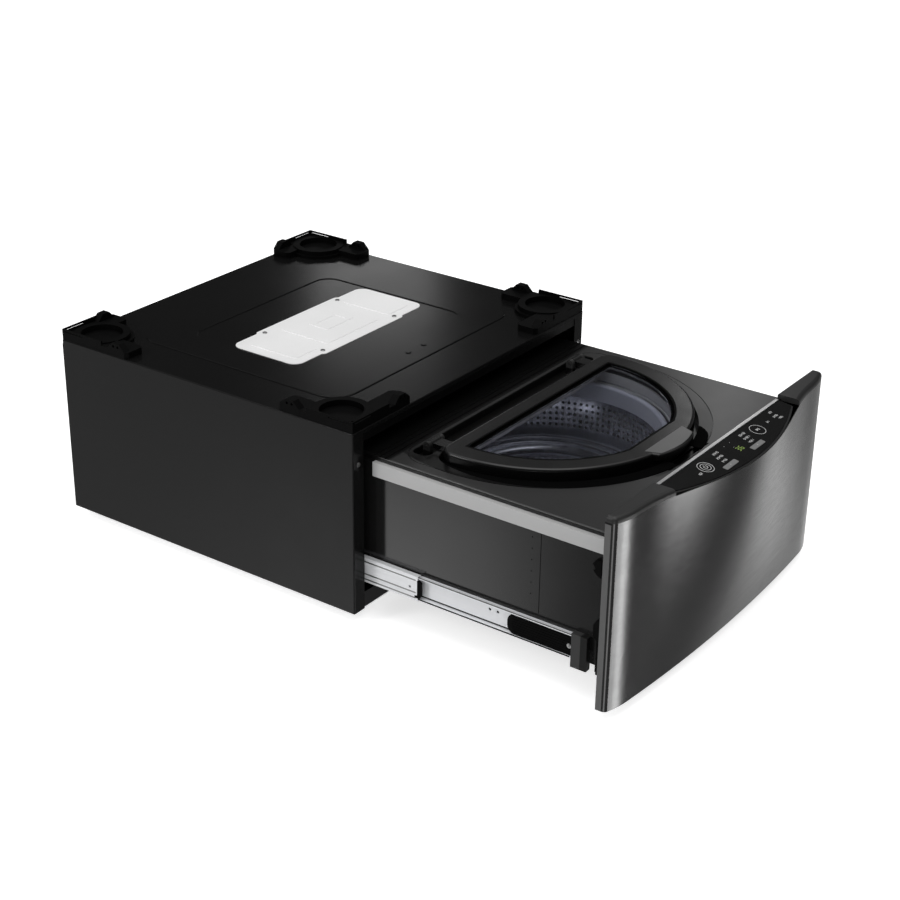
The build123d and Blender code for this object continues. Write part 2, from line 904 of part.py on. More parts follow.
# Drawer tray: two sides with hangers for the suspension, a floor and a rear
rod_places = [(x, drum_y + y) for x in (-rod_x, rod_x) for y in (-rod_y, rod_y)]
hanger_z = cover_top - hanger_drop
side_inner = drawer_half - sheet
for side, sign in sides:
    with BuildPart() as drawer_side:
        block(sign * drawer_half, sign * side_inner, drawer_front, drawer_rear, drawer_low, drawer_high)
        block(
            sign * side_inner,
            sign * (side_inner - bottom_flange),
            drawer_front,
            drawer_rear - sheet,
            drawer_high - sheet,
            drawer_high,
        )
        for x, y in rod_places:
            if x * sign > 0:
                block(
                    sign * side_inner,
                    sign * (rod_x - cup_radius),
                    y - lug_width / 2,
                    y + lug_width / 2,
                    hanger_z - 2 * sheet,
                    hanger_z,
                )
                disc(x, y, hanger_z - 2 * sheet, hanger_z, rod_radius + rod_gap, mode=Mode.SUBTRACT)
    keep(drawer_side, f"drawer_side_{side}")

with BuildPart() as drawer_floor:
    block(-side_inner, side_inner, drawer_front, drawer_rear - sheet, drawer_low, drawer_low + sheet)
keep(drawer_floor, "drawer_floor")

pump_z = drawer_low + pump_rise
with BuildPart() as drawer_rear_panel:
    block(-side_inner, side_inner, drawer_rear - sheet, drawer_rear, drawer_low, drawer_high)
    rod_along_y(pump_x, pump_z, drawer_rear - sheet, drawer_rear, hose_radius + rod_gap, mode=Mode.SUBTRACT)
keep(drawer_rear_panel, "drawer_rear")

# Shoulder bands: bright channels along the top of the drawer's sides
band_low = drawer_high - band_height
with BuildPart() as shoulder_bands:
    for side, sign in sides:
        with BuildSketch(across(front_plane - band_rear_gap)):
            slab(sign * drawer_half, sign * band_half, band_low, drawer_high)
            slab(
                sign * drawer_half,
                sign * (band_half - sheet),
                band_low + sheet,
                drawer_high - sheet,
                mode=Mode.SUBTRACT,
            )
        extrude(amount=front_plane - band_rear_gap - drawer_front - band_front_gap)
keep(shoulder_bands, "shoulder_bands")


def d_outline(radius, centre_y, rear_y, corner):
    """A half circle towards the front, closed by straight sides and a straight rear edge."""
    with BuildSketch() as outline:
        with BuildLine():
            CenterArc((0, centre_y), radius, 180, 180)
            FilletPolyline(
                (radius, centre_y), (radius, rear_y), (-radius, rear_y), (-radius, centre_y), radius=corner
            )
        make_face()
    return outline.sketch


def opening_outline(grow):
    """The drum's opening in the cover: a disc cut straight behind the lid's window."""
    radius = opening_radius + grow
    with BuildSketch() as outline:
        with Locations((0, drum_y)):
            Circle(radius)
        slab(-radius, radius, opening_rear + grow, drum_y - radius, mode=Mode.INTERSECT)
        fillet(outline.vertices(), window_corner + grow)
    return outline.sketch


def scoop_outline(grow):
    """The finger hollow in front of the lid."""
    front = lid_centre - lid_radius - lid_gap - scoop_length
    slab(-scoop_half - grow, scoop_half + grow, front - grow, lid_centre - lid_radius + grow)


def trench_outline(grow):
    """The hinge trench behind the lid."""
    with Locations((0, hinge_y)):
        RectangleRounded(2 * trench_half + 2 * grow, trench_width + 2 * grow, trench_width / 3)


# Tub cover: the drawer's top, with the moat that the lid sits in, the hinge trench, the
# finger hollow and the collar around the drum
moat_floor = cover_top - moat_depth
scoop_floor = moat_floor - cover_wall
trench_floor = cover_top - trench_depth
hinge_span = hinge_arm_width / 2 + hinge_lug_gap + hinge_lug_width
with BuildPart() as tub_cover:
    block(-cover_half, cover_half, drawer_front, drawer_rear, drawer_high, cover_top)
    roll = tub_cover.edges().filter_by(Axis.Y).group_by(Axis.Z)[-1]
    fillet(roll, cover_wall)
    block(
        -cover_half + cover_wall,
        cover_half - cover_wall,
        drawer_front + cover_wall,
        drawer_rear - cover_wall,
        drawer_high,
        cover_top - cover_wall,
        mode=Mode.SUBTRACT,
    )
    with BuildSketch(Plane.XY.offset(cover_top)):
        add(d_outline(moat_radius + cover_wall, moat_centre, moat_rear + cover_wall, moat_corner))
    extrude(amount=-moat_depth - cover_wall)
    with BuildSketch(Plane.XY.offset(cover_top)):
        trench_outline(cover_wall)
    extrude(amount=-trench_depth - cover_wall)
    with BuildSketch(Plane.XY.offset(cover_top)):
        scoop_outline(cover_wall)
    extrude(amount=scoop_floor - cover_wall - cover_top)
    with BuildSketch(Plane.XY.offset(cover_top)):
        add(d_outline(moat_radius, moat_centre, moat_rear, moat_corner))
    extrude(amount=-moat_depth, mode=Mode.SUBTRACT)
    with BuildSketch(Plane.XY.offset(cover_top)):
        trench_outline(0)
    extrude(amount=-trench_depth, mode=Mode.SUBTRACT)
    with BuildSketch(Plane.XY.offset(cover_top)):
        scoop_outline(0)
    extrude(amount=scoop_floor - cover_top, mode=Mode.SUBTRACT)
    with BuildSketch(Plane.XY.offset(cover_top)):
        add(opening_outline(cover_wall))
    extrude(amount=-moat_depth)
    with BuildSketch(Plane.XY.offset(cover_top)):
        add(opening_outline(0))
    extrude(amount=-moat_depth - cover_wall, mode=Mode.SUBTRACT)
    with BuildSketch(Plane.XY.offset(cover_top)):
        add(d_outline(ring_radius, moat_centre, ring_rear, ring_corner))
        add(
            d_outline(ring_groove_radius, moat_centre, ring_rear - groove_width, ring_corner),
            mode=Mode.SUBTRACT,
        )
    extrude(amount=-groove_depth, mode=Mode.SUBTRACT)
    for groove in cover_grooves:
        block(
            -cover_half,
            cover_half,
            front_plane - groove,
            front_plane - groove - cover_wall,
            cover_top - sheet,
            cover_top,
            mode=Mode.SUBTRACT,
        )
    for side, sign in sides:
        for lug_side in (-1, 1):
            lug_near = sign * hinge_x + lug_side * (hinge_arm_width / 2 + hinge_lug_gap)
            lug_far = lug_near + lug_side * hinge_lug_width
            rod_along_x(hinge_y, hinge_z, min(lug_near, lug_far), max(lug_near, lug_far), hinge_boss_radius)
            block(
                lug_near,
                lug_far,
                hinge_y - hinge_boss_radius,
                hinge_y + hinge_boss_radius,
                trench_floor,
                hinge_z,
            )
        rod_along_x(
            hinge_y,
            hinge_z,
            sign * hinge_x - hinge_span,
            sign * hinge_x + hinge_span,
            hinge_pin_radius + running_gap,
            mode=Mode.SUBTRACT,
        )
keep(tub_cover, "tub_cover")


def window_outline(grow):
    """The lid's window: a disc cut straight at its front and rear."""
    radius = lid_radius - window_margin + grow
    rear = drum_y + window_rear + grow
    front = drum_y - window_front - grow
    with BuildSketch() as outline:
        with Locations((0, lid_centre - window_ledge)):
            Circle(radius)
        slab(-radius, radius, front, rear, mode=Mode.INTERSECT)
        fillet(outline.vertices(), window_corner)
    return outline.sketch


def handle_outline(grow):
    """The lid's handle lip, with a curved front edge."""
    rear = drum_y - handle_rear + grow
    side_y = drum_y - handle_side
    nose = drum_y - handle_nose - grow
    front_half = handle_front_half + grow
    rear_half = handle_rear_half + grow
    with BuildSketch() as outline:
        with BuildLine():
            Polyline((-front_half, side_y), (-rear_half, rear), (rear_half, rear), (front_half, side_y))
            ThreePointArc((front_half, side_y), (0, nose), (-front_half, side_y))
        make_face()
    return outline.sketch


# Lid frame: a hollow D-shaped cap with a window, a handle lip and two hinge arms
window_high = lid_high - window_sink
window_low = window_high - window_thickness
ledge_low = window_low - window_thickness
with BuildPart() as lid_frame:
    with BuildSketch(Plane.XY.offset(lid_low)):
        add(d_outline(lid_radius, lid_centre, lid_rear, lid_corner))
    extrude(amount=lid_high - lid_low)
    with BuildSketch(Plane.XY.offset(lid_high)):
        add(handle_outline(handle_grow))
    extrude(amount=-handle_thickness)
    fillet(lid_frame.faces().sort_by(Axis.Z)[-1].outer_wire().edges(), lid_round)
    with BuildSketch(Plane.XY.offset(lid_low)):
        add(d_outline(lid_radius - lid_wall, lid_centre, lid_rear - lid_wall, lid_corner - lid_wall))
    extrude(amount=lid_high - lid_top - lid_low, mode=Mode.SUBTRACT)
    with BuildSketch(Plane.XY.offset(ledge_low)):
        add(window_outline(lid_wall))
    extrude(amount=lid_high - lid_top - ledge_low)
    with BuildSketch(Plane.XY.offset(window_low)):
        add(window_outline(0))
    extrude(amount=lid_high - window_low, mode=Mode.SUBTRACT)
    with BuildSketch(Plane.XY.offset(ledge_low)):
        add(window_outline(-window_ledge))
    extrude(amount=lid_high - ledge_low, mode=Mode.SUBTRACT)
    with BuildSketch(Plane.XY.offset(lid_high)):
        add(handle_outline(handle_grow - lid_round))
    extrude(amount=-pad_depth, mode=Mode.SUBTRACT)
    for side, sign in sides:
        block(
            sign * hinge_x - hinge_arm_width / 2,
            sign * hinge_x + hinge_arm_width / 2,
            lid_rear - lid_wall,
            hinge_y,
            hinge_z - hinge_arm_height / 2,
            hinge_z + hinge_arm_height / 2,
        )
        rod_along_x(
            hinge_y,
            hinge_z,
            sign * hinge_x - hinge_arm_width / 2,
            sign * hinge_x + hinge_arm_width / 2,
            hinge_boss_radius,
        )
        rod_along_x(
            hinge_y,
            hinge_z,
            sign * hinge_x - hinge_arm_width,
            sign * hinge_x + hinge_arm_width,
            hinge_pin_radius,
            mode=Mode.SUBTRACT,
        )
keep(lid_frame, "lid_frame")

with BuildPart() as lid_window:
    with BuildSketch(Plane.XY.offset(window_low)):
        add(window_outline(-panel_gap))
    extrude(amount=window_thickness)
keep(lid_window, "lid_window")

with BuildPart() as lid_handle_pad:
    with BuildSketch(Plane.XY.offset(lid_high - pad_depth)):
        add(handle_outline(handle_grow - lid_round - panel_gap))
    extrude(amount=pad_depth + pad_rise)
    fillet(lid_handle_pad.faces().sort_by(Axis.Z)[-1].edges(), pad_rise / 2)
keep(lid_handle_pad, "lid_handle_pad")

with BuildPart() as lid_hinge_pins:
    for side, sign in sides:
        rod_along_x(
            hinge_y, hinge_z, sign * hinge_x - hinge_span, sign * hinge_x + hinge_span, hinge_pin_radius
        )
keep(lid_hinge_pins, "lid_hinge_pins")


# How far the face stands out in the middle: at its foot, at the strip's front edge, where it
# reaches the nose's full depth, and at its crest
foot_middle_depth = end_depth + sagitta
nose_height = strip_top - strip_slope * (nose_depth - strip_setback) - cabinet_bottom
crest_height = shell_top - cabinet_bottom
crest_depth = foot_middle_depth + (nose_depth - foot_middle_depth) * crest_height / nose_height
crest_swell = crest_depth - foot_middle_depth


def face_depth(x, swell):
    """How far the front's face stands out at this distance from the middle."""
    wing = end_depth + sagitta * (1 - (x / half_width) ** 2)
    nose = swell * max(0, 1 - (x / swell_half) ** 2) ** 2
    turn = turn_drop * (max(0, abs(x) - half_width + turn_reach) / turn_reach) ** 2
    return wing + nose - turn


def face_outline(swell, inset, rear):
    """The front's outline in plan, drawn in from its face and sides by an inset."""
    half = half_width - inset
    points = []
    for step in range(face_steps + 1):
        x = -half + 2 * half * step / face_steps
        points.append((x, drawer_front - face_depth(x, swell) + inset))
    with BuildSketch() as outline:
        with BuildLine():
            Spline(*points)
            Polyline(points[-1], (half, rear), (-half, rear), points[0])
        make_face()
        fillet(outline.vertices().group_by(Axis.Y)[0], shell_corner - inset)
    return outline.sketch


def front_form(inset, low, rear):
    """The front's solid form between its foot curve and its crest curve."""
    with BuildPart() as form:
        with BuildSketch(Plane.XY.offset(low)):
            add(face_outline(0.0, inset, rear))
        with BuildSketch(Plane.XY.offset(shell_top)):
            add(face_outline(crest_swell, inset, rear))
        loft()
    return form.part


slope = atan(strip_slope)
strip_rear = drawer_front - strip_setback
strip_plane = Plane(origin=(0, strip_rear, strip_top), x_dir=(1, 0, 0), z_dir=(0, -sin(slope), cos(slope)))

# Front shell: one curved sheet, open to the rear and at the top
with BuildPart() as front_shell:
    add(front_form(0.0, cabinet_bottom, frame_front))
    add(
        front_form(shell_wall, cabinet_bottom + shell_wall, frame_front + shell_wall), mode=Mode.SUBTRACT
    )
    with BuildSketch(strip_plane):
        Rectangle(2 * strip_half, 2 * nose_depth)
    extrude(amount=nose_depth, mode=Mode.SUBTRACT)
keep(front_shell, "front_shell")

# End blocks: plastic caps on the shell's wings
with BuildPart() as end_blocks:
    with BuildSketch(Plane.XY.offset(shell_top)):
        add(face_outline(crest_swell, 0.0, drawer_front))
        slab(-strip_half, strip_half, drawer_front + 1, drawer_front - 2 * nose_depth, mode=Mode.SUBTRACT)
    extrude(amount=end_block_height)
    front_edges = [
        edge
        for edge in end_blocks.faces().sort_by(Axis.Z)[-2:].edges()
        if edge.center().Y < frame_front - 1 and abs(edge.center().X) > strip_half + 1
    ]
    fillet(front_edges, end_block_roll)
    rear_edges = end_blocks.faces().sort_by(Axis.Z)[-2:].edges().filter_by(Axis.X).group_by(Axis.Y)[-1]
    fillet(rear_edges, end_block_roll / 4)
keep(end_blocks, "end_blocks")

# Front frame: the panel that closes the drawer's front, with a rim for the shell
rim_top = strip_top - sheet
with BuildPart() as front_frame:
    block(
        -half_width, half_width, drawer_front - frame_sheet, drawer_front, cabinet_bottom, shell_top
    )
    block(
        -strip_half + panel_gap,
        strip_half - panel_gap,
        drawer_front - frame_sheet,
        drawer_front,
        shell_top,
        rim_top,
    )
    block(
        -strip_half + panel_gap,
        strip_half - panel_gap,
        strip_rear,
        drawer_front,
        rim_top - frame_sheet,
        rim_top,
    )
    block(-half_width, half_width, frame_front, drawer_front, cabinet_bottom, cabinet_bottom + shell_wall)
    for side, sign in sides:
        block(
            sign * half_width,
            sign * (half_width - shell_wall),
            frame_front,
            drawer_front,
            cabinet_bottom,
            shell_top,
        )
        block(
            sign * half_width,
            sign * (strip_half + panel_gap),
            frame_front,
            drawer_front,
            shell_top - shell_wall,
            shell_top,
        )
keep(front_frame, "front_frame")

# Trim strip along the rear of the control strip
trim_half = panel_half + trim_overhang
with BuildPart() as trim_strip:
    block(-trim_half, trim_half, strip_rear, drawer_front, rim_top, strip_top + panel_gap)
    fillet(trim_strip.edges().filter_by(Axis.X).group_by(Axis.Z)[-1], sheet / 2)
keep(trim_strip, "trim_strip")


def strip_outline(grow):
    """The lens-shaped control strip, on the sloping plane, straight along its rear edge."""
    half = panel_half + grow
    radius = lens_radius - panel_margin + grow
    middle_down = (nose_depth - strip_setback - panel_margin + grow) / cos(slope)
    end_down = middle_down - radius + sqrt(radius**2 - half**2)
    with BuildSketch() as outline:
        with BuildLine():
            Polyline((-half, -end_down), (-half, -strip_gap), (half, -strip_gap), (half, -end_down))
            ThreePointArc((half, -end_down), (0, -middle_down), (-half, -end_down))
        make_face()
    return outline.sketch


def round_key(x, radius):
    """A round key's outline on the control strip."""
    with Locations((x, -round_key_down)):
        Circle(radius)


def bar_key(x, grow):
    """A bar-shaped key's outline on the control strip."""
    with Locations((x, -bar_key_down)):
        RectangleRounded(bar_key_width + 2 * grow, bar_key_length + 2 * grow, bar_key_corner)


# Control housing: a shallow tray under the strip, tied to the front frame
with BuildPart() as control_housing:
    with BuildSketch(strip_plane.offset(-housing_flange)):
        add(strip_outline(housing_rim))
    extrude(amount=housing_flange - panel_thickness / 2)
    with BuildSketch(strip_plane.offset(-housing_depth)):
        add(strip_outline(-housing_inset))
    extrude(amount=housing_depth - panel_thickness)
    with BuildSketch(strip_plane.offset(-panel_thickness)):
        add(strip_outline(panel_gap))
    extrude(amount=panel_thickness, mode=Mode.SUBTRACT)
    with BuildSketch(strip_plane.offset(-housing_depth + housing_wall)):
        add(strip_outline(-panel_ledge))
        slab(-panel_half, panel_half, -panel_ledge, panel_ledge, mode=Mode.SUBTRACT)
    extrude(amount=housing_depth, mode=Mode.SUBTRACT)
    block(
        -cabinet_width,
        cabinet_width,
        strip_rear,
        drawer_front,
        cabinet_bottom,
        top_face + nose_depth,
        mode=Mode.SUBTRACT,
    )
    for side, sign in sides:
        block(
            sign * (housing_tab_x - housing_tab_width / 2),
            sign * (housing_tab_x + housing_tab_width / 2),
            strip_rear - 2 * housing_wall,
            drawer_front - frame_sheet,
            strip_top - 2 * housing_depth,
            strip_top - housing_depth + housing_wall / 2,
        )
keep(control_housing, "control_housing")

# Control panel: glossy sheet with openings for the keys
with BuildPart() as control_panel:
    with BuildSketch(strip_plane.offset(-panel_thickness)):
        add(strip_outline(0))
    extrude(amount=panel_thickness)
    with BuildSketch(strip_plane.offset(-panel_thickness)):
        round_key(power_x, round_key_radius + key_gap)
        round_key(start_x, round_key_radius + key_gap)
        bar_key(left_key_x, key_gap)
        bar_key(right_key_x, key_gap)
    extrude(amount=panel_thickness, mode=Mode.SUBTRACT)
keep(control_panel, "control_panel")

# Keys
round_keys = {"power_button": power_x, "start_button": start_x}
bar_keys = {"option_key_left": left_key_x, "option_key_right": right_key_x}
for name, x in round_keys.items():
    with BuildPart() as key:
        with BuildSketch(strip_plane.offset(-key_depth)):
            round_key(x, round_key_radius)
        extrude(amount=key_depth + key_rise)
    keep(key, name)
for name, x in bar_keys.items():
    with BuildPart() as key:
        with BuildSketch(strip_plane.offset(-key_depth)):
            bar_key(x, 0)
        extrude(amount=key_depth + key_rise)
    keep(key, name)

# Control board on posts in the housing, with a switch under each key
with BuildPart() as control_board:
    with BuildSketch(strip_plane.offset(-board_down)):
        add(strip_outline(-panel_ledge - board_gap))
        slab(-board_half, board_half, -board_rear_down, -2 * nose_depth, mode=Mode.INTERSECT)
    extrude(amount=board_thickness)
    with BuildSketch(strip_plane.offset(-board_down + board_thickness)):
        for x in round_keys.values():
            round_key(x, switch_radius)
        for x in bar_keys.values():
            with Locations((x, -bar_key_down)):
                Circle(switch_radius)
    extrude(amount=board_down - board_thickness - key_depth - key_travel - switch_gap)
    with BuildSketch(strip_plane.offset(-housing_depth + housing_wall)):
        with Locations((-board_post_x, -round_key_down), (board_post_x, -round_key_down)):
            Circle(switch_radius)
    extrude(amount=housing_depth - housing_wall - board_down)
keep(control_board, "control_board")


drum_axis = Axis((0, drum_y, 0), (0, 0, 1))


def section(*points):
    """Half a round piece's section, from pairs of radius and height."""
    with BuildSketch(across(drum_y)) as profile:
        with BuildLine():
            Polyline(*points, close=True)
        make_face()
    return profile.sketch


# Outer tub with its bearing boss and four suspension lugs
bearing_low = cover_top - bearing_drop
lug_low = cover_top - lug_drop
rod_reach = hypot(rod_x, rod_y)
with BuildPart() as outer_tub:
    profile = section(
        (hollow_shaft_radius + running_gap, bearing_low),
        (bearing_radius, bearing_low),
        (bearing_radius, tub_bottom),
        (tub_radius, tub_bottom),
        (tub_radius, tub_top),
        (tub_radius - 2 * gasket_width + 2 * tub_wall, tub_top),
        (tub_radius - 2 * gasket_width + 2 * tub_wall, tub_top - tub_wall),
        (tub_radius - tub_wall, tub_top - tub_wall),
        (tub_radius - tub_wall, tub_bottom + tub_wall),
        (hollow_shaft_radius + running_gap, tub_bottom + tub_wall),
    )
    revolve(profile, axis=drum_axis)
    lug_inner = tub_radius - tub_wall / 2
    lug_outer = rod_reach + cup_radius
    for x, y in rod_places:
        turn = degrees(atan2(y - drum_y, x))
        middle = (lug_inner + lug_outer) / 2
        place = (
            middle * cos(radians(turn)),
            drum_y + middle * sin(radians(turn)),
            lug_low + lug_thickness / 2,
        )
        with Locations(Location(place, (0, 0, turn))):
            Box(lug_outer - lug_inner, lug_width, lug_thickness)
        disc(x, y, lug_low, lug_low + lug_thickness, rod_radius + rod_gap, mode=Mode.SUBTRACT)
keep(outer_tub, "outer_tub")

# Gasket between the tub and its cover
with BuildPart() as tub_gasket:
    gasket_outer = tub_radius - tub_wall
    profile = section(
        (gasket_outer - gasket_width, tub_top),
        (gasket_outer, tub_top),
        (gasket_outer, moat_floor - cover_wall),
        (gasket_outer - gasket_width, moat_floor - cover_wall),
    )
    revolve(profile, axis=drum_axis)
keep(tub_gasket, "tub_gasket")

# Suspension: a rod with a head on each hanger and a nut under the spring cup
cup_low = lug_low - cup_height
with BuildPart() as suspension_rods:
    for x, y in rod_places:
        disc(x, y, cup_low - 2 * rod_radius, hanger_z, rod_radius)
        disc(x, y, hanger_z, hanger_z + rod_radius, 2 * rod_radius)
        disc(x, y, cup_low - 2 * rod_radius, cup_low, 2 * rod_radius)
keep(suspension_rods, "suspension_rods")

with BuildPart() as suspension_springs:
    for x, y in rod_places:
        disc(x, y, cup_low, lug_low, cup_radius)
        disc(x, y, cup_low, lug_low, rod_radius + rod_gap, mode=Mode.SUBTRACT)
keep(suspension_springs, "suspension_springs")

# Wash basket: steel wall and floor
basket_floor = cover_top - basket_floor_drop
balance_low = cover_top - balance_bottom_drop
balance_high = cover_top - balance_top_drop
with BuildPart() as wash_basket:
    profile = section(
        (hub_hole_radius, basket_floor),
        (basket_radius, basket_floor),
        (basket_radius, balance_low),
        (basket_radius - basket_sheet, balance_low),
        (basket_radius - basket_sheet, basket_floor + basket_sheet),
        (hub_hole_radius, basket_floor + basket_sheet),
    )
    revolve(profile, axis=drum_axis)
keep(wash_basket, "wash_basket")

with BuildPart() as balance_ring:
    profile = section(
        (basket_radius - balance_width, balance_low),
        (basket_radius, balance_low),
        (basket_radius, balance_high),
        (basket_radius - balance_width, balance_high),
    )
    revolve(profile, axis=drum_axis)
    fillet(balance_ring.edges().filter_by(GeomType.CIRCLE).group_by(Axis.Z)[-1], balance_width / 3)
keep(balance_ring, "balance_ring")

# Hub: the flange under the basket and the hollow shaft in the tub's bearing
with BuildPart() as basket_hub:
    profile = section(
        (shaft_radius + running_gap, bearing_low + bend),
        (hollow_shaft_radius, bearing_low + bend),
        (hollow_shaft_radius, basket_floor - hub_thickness),
        (hub_radius, basket_floor - hub_thickness),
        (hub_radius, basket_floor),
        (shaft_radius + running_gap, basket_floor),
    )
    revolve(profile, axis=drum_axis)
keep(basket_hub, "basket_hub")

# Pulsator: a dish with a raised rim and six low vanes
pulsator_low = basket_floor + basket_sheet + bend
pulsator_high = cover_top - pulsator_top_drop
with BuildPart() as pulsator:
    profile = section(
        (0, pulsator_low),
        (pulsator_radius, pulsator_low),
        (pulsator_radius, pulsator_high),
        (pulsator_radius - dish, pulsator_high),
        (pulsator_radius - 4 * dish, pulsator_low + 3.5 * dish),
        (hub_radius, pulsator_low + 2 * dish),
        (hub_hole_radius, pulsator_low + 5 * dish),
        (0, pulsator_low + 6 * dish),
    )
    revolve(profile, axis=drum_axis)
    for number in range(vane_count):
        turn = 360 / vane_count * number
        middle = (vane_inner + vane_outer) / 2
        place = (
            middle * cos(radians(turn)),
            drum_y + middle * sin(radians(turn)),
            pulsator_low + dish + vane_height / 2,
        )
        with Locations(Location(place, (0, 0, turn))):
            Box(vane_outer - vane_inner, 3 * dish, vane_height)
keep(pulsator, "pulsator")

# Pulsator shaft and the motor's cup-shaped rotor
rotor_low = cover_top - rotor_drop
with BuildPart() as pulsator_shaft:
    disc(0, drum_y, rotor_low + rotor_wall, pulsator_low, shaft_radius)
keep(pulsator_shaft, "pulsator_shaft")

with BuildPart() as motor_rotor:
    profile = section(
        (0, rotor_low),
        (rotor_radius, rotor_low),
        (rotor_radius, rotor_low + rotor_height),
        (rotor_radius - rotor_wall, rotor_low + rotor_height),
        (rotor_radius - rotor_wall, rotor_low + rotor_wall),
        (0, rotor_low + rotor_wall),
    )
    revolve(profile, axis=drum_axis)
keep(motor_rotor, "motor_rotor")

# Stator on the tub's bearing boss
stator_low = rotor_low + 2 * rotor_wall + bend
with BuildPart() as motor_stator:
    disc(0, drum_y, stator_low, stator_low + stator_height, stator_radius)
    disc(0, drum_y, stator_low, stator_low + stator_height, bearing_radius + running_gap, mode=Mode.SUBTRACT)
keep(motor_stator, "motor_stator")

# Drain pump on the drawer floor and its hose to the rear
pump_rear = drawer_rear - pump_rear_gap
pump_front = pump_rear - pump_length
with BuildPart() as drain_pump:
    rod_along_y(pump_x, pump_z, pump_front, pump_rear, pump_radius)
    block(
        pump_x - pump_radius,
        pump_x + pump_radius,
        pump_front,
        pump_rear,
        drawer_low + sheet,
        pump_z - pump_radius / 2,
    )
    rod_along_y(pump_x, pump_z, pump_rear, pump_rear + pump_radius, outlet_radius)
    rod_along_y(pump_x, pump_z, pump_front - pump_radius, pump_front, outlet_radius)
keep(drain_pump, "drain_pump")

with BuildPart() as drain_hose:
    rod_along_y(pump_x, pump_z, pump_rear, drawer_rear + fitting_reach / 2, hose_radius)
    rod_along_y(
        pump_x,
        pump_z,
        pump_rear,
        drawer_rear + fitting_reach / 2,
        outlet_radius + running_gap,
        mode=Mode.SUBTRACT,
    )
keep(drain_hose, "drain_hose")
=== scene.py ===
import json
from math import asin, atan, cos, pi, radians, sin

import bpy
from mathutils import Matrix, Vector


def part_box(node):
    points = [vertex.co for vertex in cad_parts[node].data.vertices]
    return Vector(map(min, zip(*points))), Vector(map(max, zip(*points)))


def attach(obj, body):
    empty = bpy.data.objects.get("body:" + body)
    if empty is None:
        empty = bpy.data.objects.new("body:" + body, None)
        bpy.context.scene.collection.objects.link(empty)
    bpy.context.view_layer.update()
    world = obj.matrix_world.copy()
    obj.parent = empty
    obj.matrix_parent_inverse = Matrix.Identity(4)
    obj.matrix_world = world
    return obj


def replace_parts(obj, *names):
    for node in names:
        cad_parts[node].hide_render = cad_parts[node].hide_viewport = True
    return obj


# The looks of the pedestal washer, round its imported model. Metres, +Z up, +Y to the rear, +X
# to the right of someone who faces it.

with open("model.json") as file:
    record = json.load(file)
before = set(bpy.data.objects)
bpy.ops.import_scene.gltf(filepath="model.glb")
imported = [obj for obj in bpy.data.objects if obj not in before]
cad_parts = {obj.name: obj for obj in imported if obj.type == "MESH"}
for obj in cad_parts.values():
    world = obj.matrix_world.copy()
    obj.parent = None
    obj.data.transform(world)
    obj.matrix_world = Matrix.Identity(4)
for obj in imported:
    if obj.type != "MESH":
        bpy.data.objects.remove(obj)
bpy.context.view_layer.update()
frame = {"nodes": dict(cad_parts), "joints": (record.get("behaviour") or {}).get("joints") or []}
joints = {joint["name"]: joint for joint in frame["joints"]}

# Places read from the model
top_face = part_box("top_plate")[1].z
basket_low, basket_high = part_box("wash_basket")
dish_low, dish_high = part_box("pulsator")
panel_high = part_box("control_panel")[1]
inner_low, inner_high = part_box("slide_inner_members")
middle_low, middle_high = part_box("slide_middle_members")
cover_low, cover_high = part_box("slide_covers")
drawer_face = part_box("drawer_side_right")[1].x
drum_centre = Vector(joints["basket_spin"]["pos_m"])
ring_centre = Vector((0, -0.209, 0))
front_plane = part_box("side_panel_left")[0].y


def put(name, data):
    """A new object in the scene."""
    made = bpy.data.objects.new(name, data)
    bpy.context.scene.collection.objects.link(made)
    return made


# Camera
focal_pixels = 1841.41
image_pixels = 900
sensor = 36.0
camera_place = Vector((-2.40477, -1.72596, 1.58732))
camera_turn = radians(-54.5584)
camera_tilt = radians(25.5666)
camera_roll = radians(0.8319)
camera_sees = 50


def make_camera():
    """The camera, from its place and its three angles."""
    turned = Matrix.Rotation(camera_turn, 4, "Z")
    tilted = Matrix.Rotation(pi / 2 - camera_tilt, 4, "X")
    rolled = Matrix.Rotation(camera_roll, 4, "Z")
    data = bpy.data.cameras.new("camera")
    data.sensor_width = sensor
    data.lens = focal_pixels / image_pixels * sensor
    data.clip_end = camera_sees
    camera = put("camera", data)
    camera.matrix_world = Matrix.Translation(camera_place) @ turned @ tilted @ rolled
    bpy.context.scene.camera = camera


make_camera()


# Node helpers

def feed(tree, socket, value):
    """Sets an input to a value or links one to it."""
    if isinstance(value, bpy.types.NodeSocket):
        tree.links.new(value, socket)
    else:
        socket.default_value = value


def calc(tree, operation, first, second=0.0):
    """A maths node fed by numbers or sockets; returns its result."""
    node = tree.nodes.new("ShaderNodeMath")
    node.operation = operation
    feed(tree, node.inputs[0], first)
    feed(tree, node.inputs[1], second)
    return node.outputs[0]


def ramp(tree, value, start, end, low=0.0, high=1.0, kind="LINEAR"):
    """Goes from low to high as a value goes from start to end."""
    ranged = tree.nodes.new("ShaderNodeMapRange")
    ranged.interpolation_type = kind
    ranged.inputs["From Min"].default_value = start
    ranged.inputs["From Max"].default_value = end
    ranged.inputs["To Min"].default_value = low
    ranged.inputs["To Max"].default_value = high
    tree.links.new(value, ranged.inputs["Value"])
    return ranged.outputs["Result"]


def blend_colours(tree, share, one, two):
    """Colour one where the share is 0 and colour two where it is 1."""
    blend = tree.nodes.new("ShaderNodeMix")
    blend.data_type = "RGBA"
    feed(tree, blend.inputs["A"], one)
    feed(tree, blend.inputs["B"], two)
    tree.links.new(share, blend.inputs["Factor"])
    return blend.outputs["Result"]


def object_place(tree, kind="Object"):
    """The object's own coordinates, or its own surface direction."""
    return tree.nodes.new("ShaderNodeTexCoord").outputs[kind]


